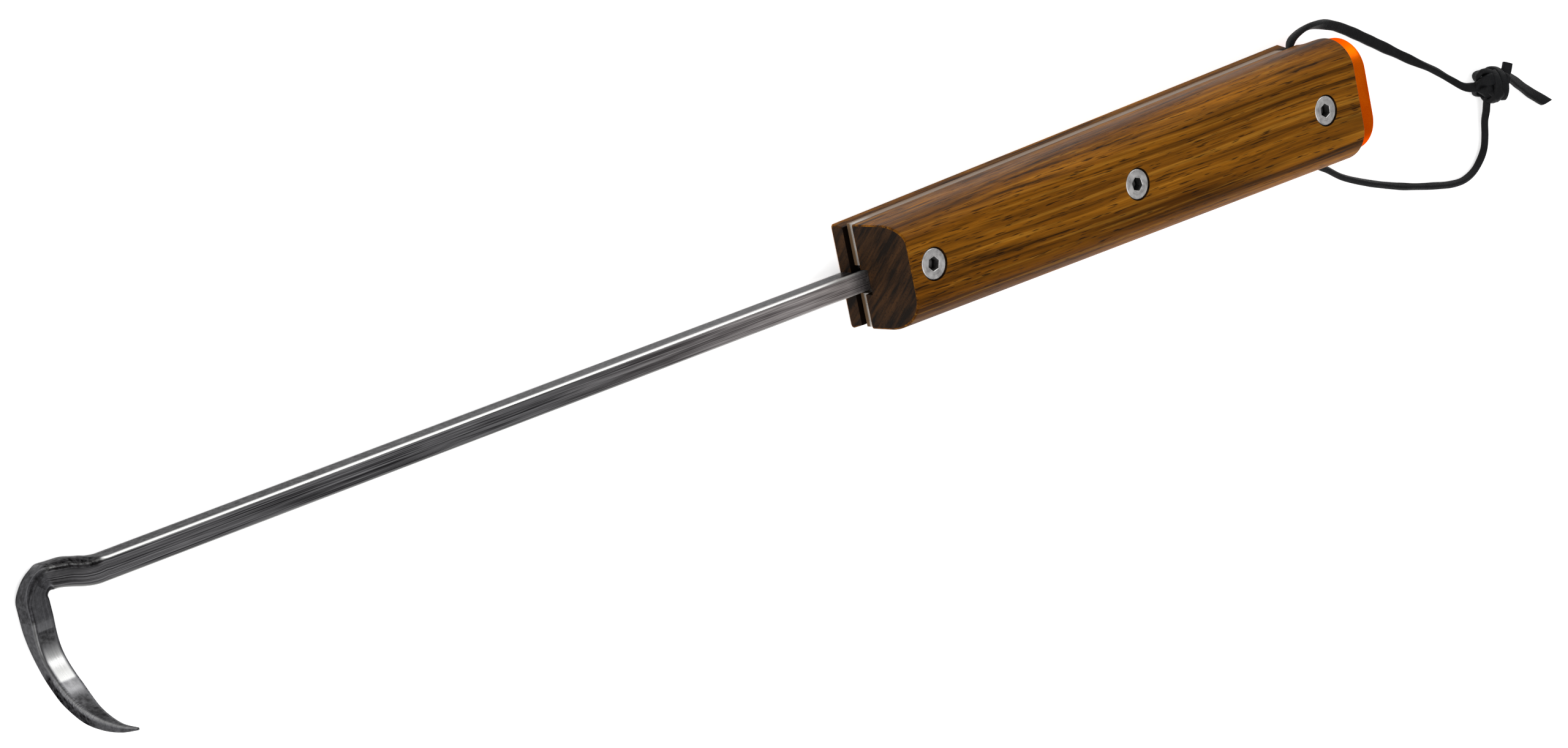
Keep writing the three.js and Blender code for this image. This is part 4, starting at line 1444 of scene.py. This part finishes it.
@dataclass
class HookBar:
    """The square bar with its kick, its right-angle bend and its tapering hook.

    The painted fields are keyed by the share of the hook's length, from the bend to the tip.
    """

    wide: float = 5.4
    deep: float = 6.6
    top_z: float = 6.9
    centre_y: float = -3.2
    rise: float = 0.0067
    front_x: float = -43.85
    tenon_t: float = 2.0
    tenon_end: float = -40.85
    free: float = 226.0
    kick_length: float = 12.0
    kick_rise: float = 2.5
    bend_radius: float = 4.4
    hook_wide: float = 5.5
    lead: float = 3.3
    tip: float = 0.62
    taper_start: float = 0.42
    hook_line: Keys = (
        (0, 0), (3.4, 0), (7.2, 0.7), (11.0, 2.4), (14.6, 5.2), (18.0, 8.9), (20.9, 13.5), (22.4, 18.9),
        (22.9, 25.0), (22.3, 32.0),
    )
    hook_thick: Keys = ((0.0, 6.0), (0.24, 4.1), (1.0, 4.1))
    corner: Keys = ((0.0, 0.62), (0.22, 1.5), (0.6, 1.4), (1.0, 0.55))
    painted_grip_light_length: float = 110.0
    # Painted highlight inside the hook, added to the worn edges.
    bright: Keys = ((0.0, 0.0), (0.15, 0.05), (0.22, 0.4), (0.36, 0.6), (0.375, 0.05), (1.0, 0.0))
    polish: Keys = ((0.0, 0.2), (0.06, 0.3), (0.16, 1.0), (0.42, 1.0), (0.5, 0.35), (1.0, 0.2))
    # Painted shade in bands inside the hook, above and below the polish.
    painted_shade_band: Keys = (
        (0.0, 0.1), (0.06, 0.1), (0.07, 0.9), (0.12, 0.85), (0.2, 0.0), (0.365, 0.0), (0.38, 0.6),
        (0.44, 0.35), (0.5, 0.85), (1.0, 0.9),
    )
    back: Keys = ((0.0, 0.0), (0.27, 0.0), (0.34, 0.9), (0.58, 0.9), (0.7, 0.1), (1.0, 0.1))
    bevel: Keys = ((0.0, 0.0), (0.3, 0.0), (0.36, 0.9), (0.62, 0.8), (0.8, 0.25), (1.0, 0.1))

    def kick_x(self) -> float:
        """X at which the kick starts."""
        return self.front_x - self.free

    def middle_y(self, x: Array) -> Array:
        """Y of the bar's middle at each x: a slight rise, then the kick as a smooth step."""
        kick = self.kick_rise * smooth((self.kick_x() - x) / self.kick_length)
        return self.centre_y - self.rise * (x - self.front_x) + kick

    def line(self) -> tuple[Array, Array, Array]:
        """The bar's middle from the tenon to the tip.

        Returns:
            Points, and the share of the bend and of the hook at each.
        """
        mid_z, kick = self.top_z - self.deep / 2, self.kick_x()
        bend_x, r = kick - self.kick_length, self.bend_radius
        x = [[self.tenon_end], np.linspace(self.front_x, kick + 4, 60), np.linspace(kick + 3, bend_x, 48)]
        x = np.concatenate(x)
        straight = grid(x, self.middle_y(x), mid_z)
        turn = np.linspace(0, np.pi / 2, 34)[1:]
        y_bend = float(self.middle_y(np.array([bend_x]))[0])
        bend = grid(bend_x - r * np.sin(turn), y_bend - r * (1 - np.cos(turn)), mid_z)
        hook_x, hook_y = bend_x - r, y_bend - r - self.lead
        hook = spline([(hook_x, hook_y - down, mid_z + out) for down, out in self.hook_line], 150)
        lead = np.linspace(bend[-1], hook[0], 8)[1:-1]
        line = np.vstack([straight, bend, lead, hook])
        after = np.ones(len(lead) + len(hook))
        bend_share = np.concatenate([np.zeros(len(straight)), turn / (np.pi / 2), after])
        hook_share = np.concatenate([np.zeros(len(line) - len(hook)), np.linspace(0, 1, len(hook))])
        return line, bend_share, hook_share

    def halves(self, bend: Array, hook: Array) -> tuple[Array, Array]:
        """Half sizes of the section at each station.

        They change from the bar's to the flatter hook's where the bend starts, then shrink to
        the tip, whose last half millimetre is a small ball.

        Args:
            bend: Share of the bend.
            hook: Share of the hook.

        Returns:
            Half the width and half the thickness.
        """
        taper = np.clip((hook - self.taper_start) / (1 - self.taper_start), 0, 1)
        half_a = mix(self.wide, self.hook_wide, smooth(bend)) / 2
        half_a = mix(half_a, self.tip / 2, 0.35 * smooth(taper) + 0.65 * taper)
        thick = mix(self.deep, keyed(hook, self.hook_thick), smooth((bend - 0.04) / 0.45))
        half_b = mix(thick / 2, self.tip * 0.42, taper**1.4)
        end = np.sqrt(np.clip(1 - np.clip((hook - 0.992) / 0.008, 0, 1) ** 2, 0.01, 1))
        return half_a * end, half_b * end

    def surface(self) -> Surface:
        """Rounded rectangle carried along the line.

        Its sides are straight and each corner is a quarter circle whose radius changes along
        the line. The near upper corner is pinched in at the kick.

        Returns:
            The surface, with its painted values.
        """
        line, bend, hook = self.line()
        along = unit(np.gradient(line, axis=0))
        flank = unit(grid(along[:, 1], -along[:, 0], 0))
        flank[hook > 0] = (-1.0, 0.0, 0.0)
        inner = unit(np.cross(flank, along))
        x = line[:, 0]
        half_a, half_b = (half[:, None] for half in self.halves(bend, hook))
        r = np.minimum(keyed(bend, self.corner)[:, None], 0.6 * np.minimum(half_a, half_b))
        quarter = np.linspace(0, np.pi / 2, 9)
        flat = np.linspace(0, 1, 9)[1:-1]
        corners = ((1, 1), (-1, 1), (-1, -1), (1, -1))
        a_all, b_all, face, edge = [], [], [], []
        for index, (sa, sb) in enumerate(corners):
            angle = quarter + index * np.pi / 2
            na, nb = corners[(index + 1) % 4]
            ca = sa * (half_a - r) + r * np.cos(angle)
            cb = sb * (half_b - r) + r * np.sin(angle)
            a_all += [ca, mix(ca[:, -1:], na * (half_a - r) + r * np.cos(angle[-1]), flat)]
            b_all += [cb, mix(cb[:, -1:], nb * (half_b - r) + r * np.sin(angle[-1]), flat)]
            edge += [np.sin(quarter * 2) * (1.0 if index == 0 else 0.35), 0 * flat]
            face += [np.full(len(quarter), -1), np.full(len(flat), index)]
        a, b = np.concatenate(a_all, axis=1), np.concatenate(b_all, axis=1)
        dent = self.pinch(x, bend, a / half_a, b / half_b)
        across = b / half_b
        stand = (self.swell(x) - 0.45 * np.sin(np.pi * bend))[:, None]
        a = (a + stand * smooth(a / half_a - 0.2)) * (1 - dent * 0.30)
        b = b * (1 - dent * 0.10)
        points = line[:, None] + flank[:, None] * a[..., None] + inner[:, None] * b[..., None]
        painted = self.marks(x, bend, hook, np.concatenate(edge), np.concatenate(face), dent, across)
        return Surface("forged_hook_bar", points, painted, crease_deg=40)

    def pinch(self, x: Array, bend: Array, a: Array, b: Array) -> Array:
        """How deep the near upper edge is hammered in at the kick, from 0 to 1.

        It is a lens along X, strongest on the corner between the top and the near face.

        Args:
            x: X of each station.
            bend: Share of the bend at each station.
            a: Place over the width, from -1 to 1.
            b: Place over the thickness, from -1 to 1.

        Returns:
            A depth for every point.
        """
        start, stop = self.kick_x() + 1.5, self.kick_x() - self.kick_length - 2.0
        along = np.clip((start - x) / (start - stop), 0, 1)
        lens = np.sin(np.pi * along**0.8) ** 1.2 * (bend < 0.5)
        corner = smooth((np.minimum(a, 1) - 0.35) / 0.5) * smooth((np.minimum(b, 1) + 0.15) / 0.7)
        return lens[:, None] * corner

    def swell(self, x: Array) -> Array:
        """How far the top stands up, in millimetres, where the pinch pushed the steel aside."""
        kick = self.kick_x()
        return 0.9 * smooth((kick + 3 - x) / 6) * smooth((x - kick + self.kick_length - 1) / 5)

    def marks(
        self, x: Array, bend: Array, hook: Array, edge: Array, face: Array, dent: Array, across: Array,
    ) -> dict[str, Array]:
        """Painted values, each from 0 to 1.

        Bare edges run along the bar with a painted highlight on them, the inside of the hook is
        polished with bands of painted shade above and below and a painted highlight on it, the
        pinch and the back of the point are darkened, and a ground bevel runs down the flank of
        the point. Painted shade also lies on the top of the bar, on the bend, on the flanks of
        the hook and where the bar enters the grip, and painted light brightens the bar towards
        the grip.

        Args:
            x: X of each station.
            bend: Share of the bend at each station.
            hook: Share of the hook at each station.
            edge: How near each column is to the middle of a corner.
            face: Number of the face of each column, with -1 on corners.
            dent: Depth of the pinch.
            across: Place over the section from the back at -1 to the inside at 1.

        Returns:
            Name of each value and the value at every point.
        """
        x, bend, hook = x[:, None], bend[:, None], hook[:, None]
        on_hook, on_bar, top = hook > 0, bend == 0, face == 3
        inside, flank = face == 0, top | (face == -1) & (edge > 0)
        lit = inside | (face == -1)
        # Worn edges plus a painted highlight: strongest on the near upper ridge, and inside the hook.
        wear_and_painted_highlight = edge * (1 - smooth((bend - 0.02) / 0.12)) * (1 - 0.8 * np.clip(dent * 2, 0, 1))
        wear_and_painted_highlight = wear_and_painted_highlight + 0.25 * edge * on_hook + inside * keyed(hook, self.bright) * on_hook
        outer = smooth((0.45 - across) / 0.25)
        kick = smooth((self.kick_x() - 2 - x) / 6)
        elbow = smooth((bend - 0.05) / 0.3) * (hook < 0.02)
        away = np.clip((self.front_x - x) / self.free, 0, 1)
        # Painted shade at the grip's recess, along the top, on the bend and on the hook's flanks and bands;
        # darkening in the pinch and on the back of the point.
        scale_and_painted_shade = (
            smooth((dent - 0.10) / 0.2)
            + smooth((x - (self.front_x - 5)) / 5) * top * 0.9
            + smooth((x - (self.front_x - 1.5)) / 1.5) * (face != 3) * 0.75
            + inside * keyed(hook, self.painted_shade_band) * on_hook
            + flank * outer * keyed(hook, self.back)
            + 0.45 * kick * inside * (bend < 0.5)
            + 0.12 * elbow * lit
            + 0.2 * elbow
            + mix(0.5, 0.8, away**0.7) * top * on_bar
            + 0.52 * flank * (bend > 0)
        )
        # Painted light: rises towards the grip on the lit faces of the straight bar.
        painted_grip_light = np.clip((x - self.front_x) / self.painted_grip_light_length + 1, 0, 1) ** 1.5
        return {
            "polish": inside * on_hook * keyed(hook, self.polish), "wear_and_painted_highlight": np.clip(wear_and_painted_highlight, 0, 1),
            "ground": flank * (1 - outer) * keyed(hook, self.bevel), "scale_and_painted_shade": np.clip(scale_and_painted_shade, 0, 1),
            "painted_grip_light": painted_grip_light * lit * on_bar, "forged": 0.85 * smooth((bend - 0.02) / 0.2),
        }

    def build(self) -> None:
        """Makes the bar, with the step under its tenon cut away."""
        steel = BrushedBarSteel().material()
        low = (self.front_x - 0.3, -12, self.top_z - self.deep - CLEAR)
        step = block("step", low, (self.tenon_end + CLEAR, 6, self.top_z - self.tenon_t))
        bar = carve(self.surface().build([steel]), [step.build([steel])], 40)
        enter(bar, Finish.BAR, "hook_shank")


def main() -> None:
    """Builds the studio, then each sub-assembly in order."""
    logging.basicConfig(level=logging.INFO, format="%(name)s: %(message)s")
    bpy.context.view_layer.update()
    studio = Studio()
    studio.camera()
    Lace().build_cords(BlackLeather().material())
    steel = TurnedScrewSteel().material()
    screw, cap, handle = SocketScrew(), ButtCap(), Handle()
    handle.build(screw, cap)
    handle.weld()
    screw.build(steel)
    cap.build(steel)
    HookBar().build()
    studio.lights()
    studio.floor()


if __name__ == "__main__":
    main()
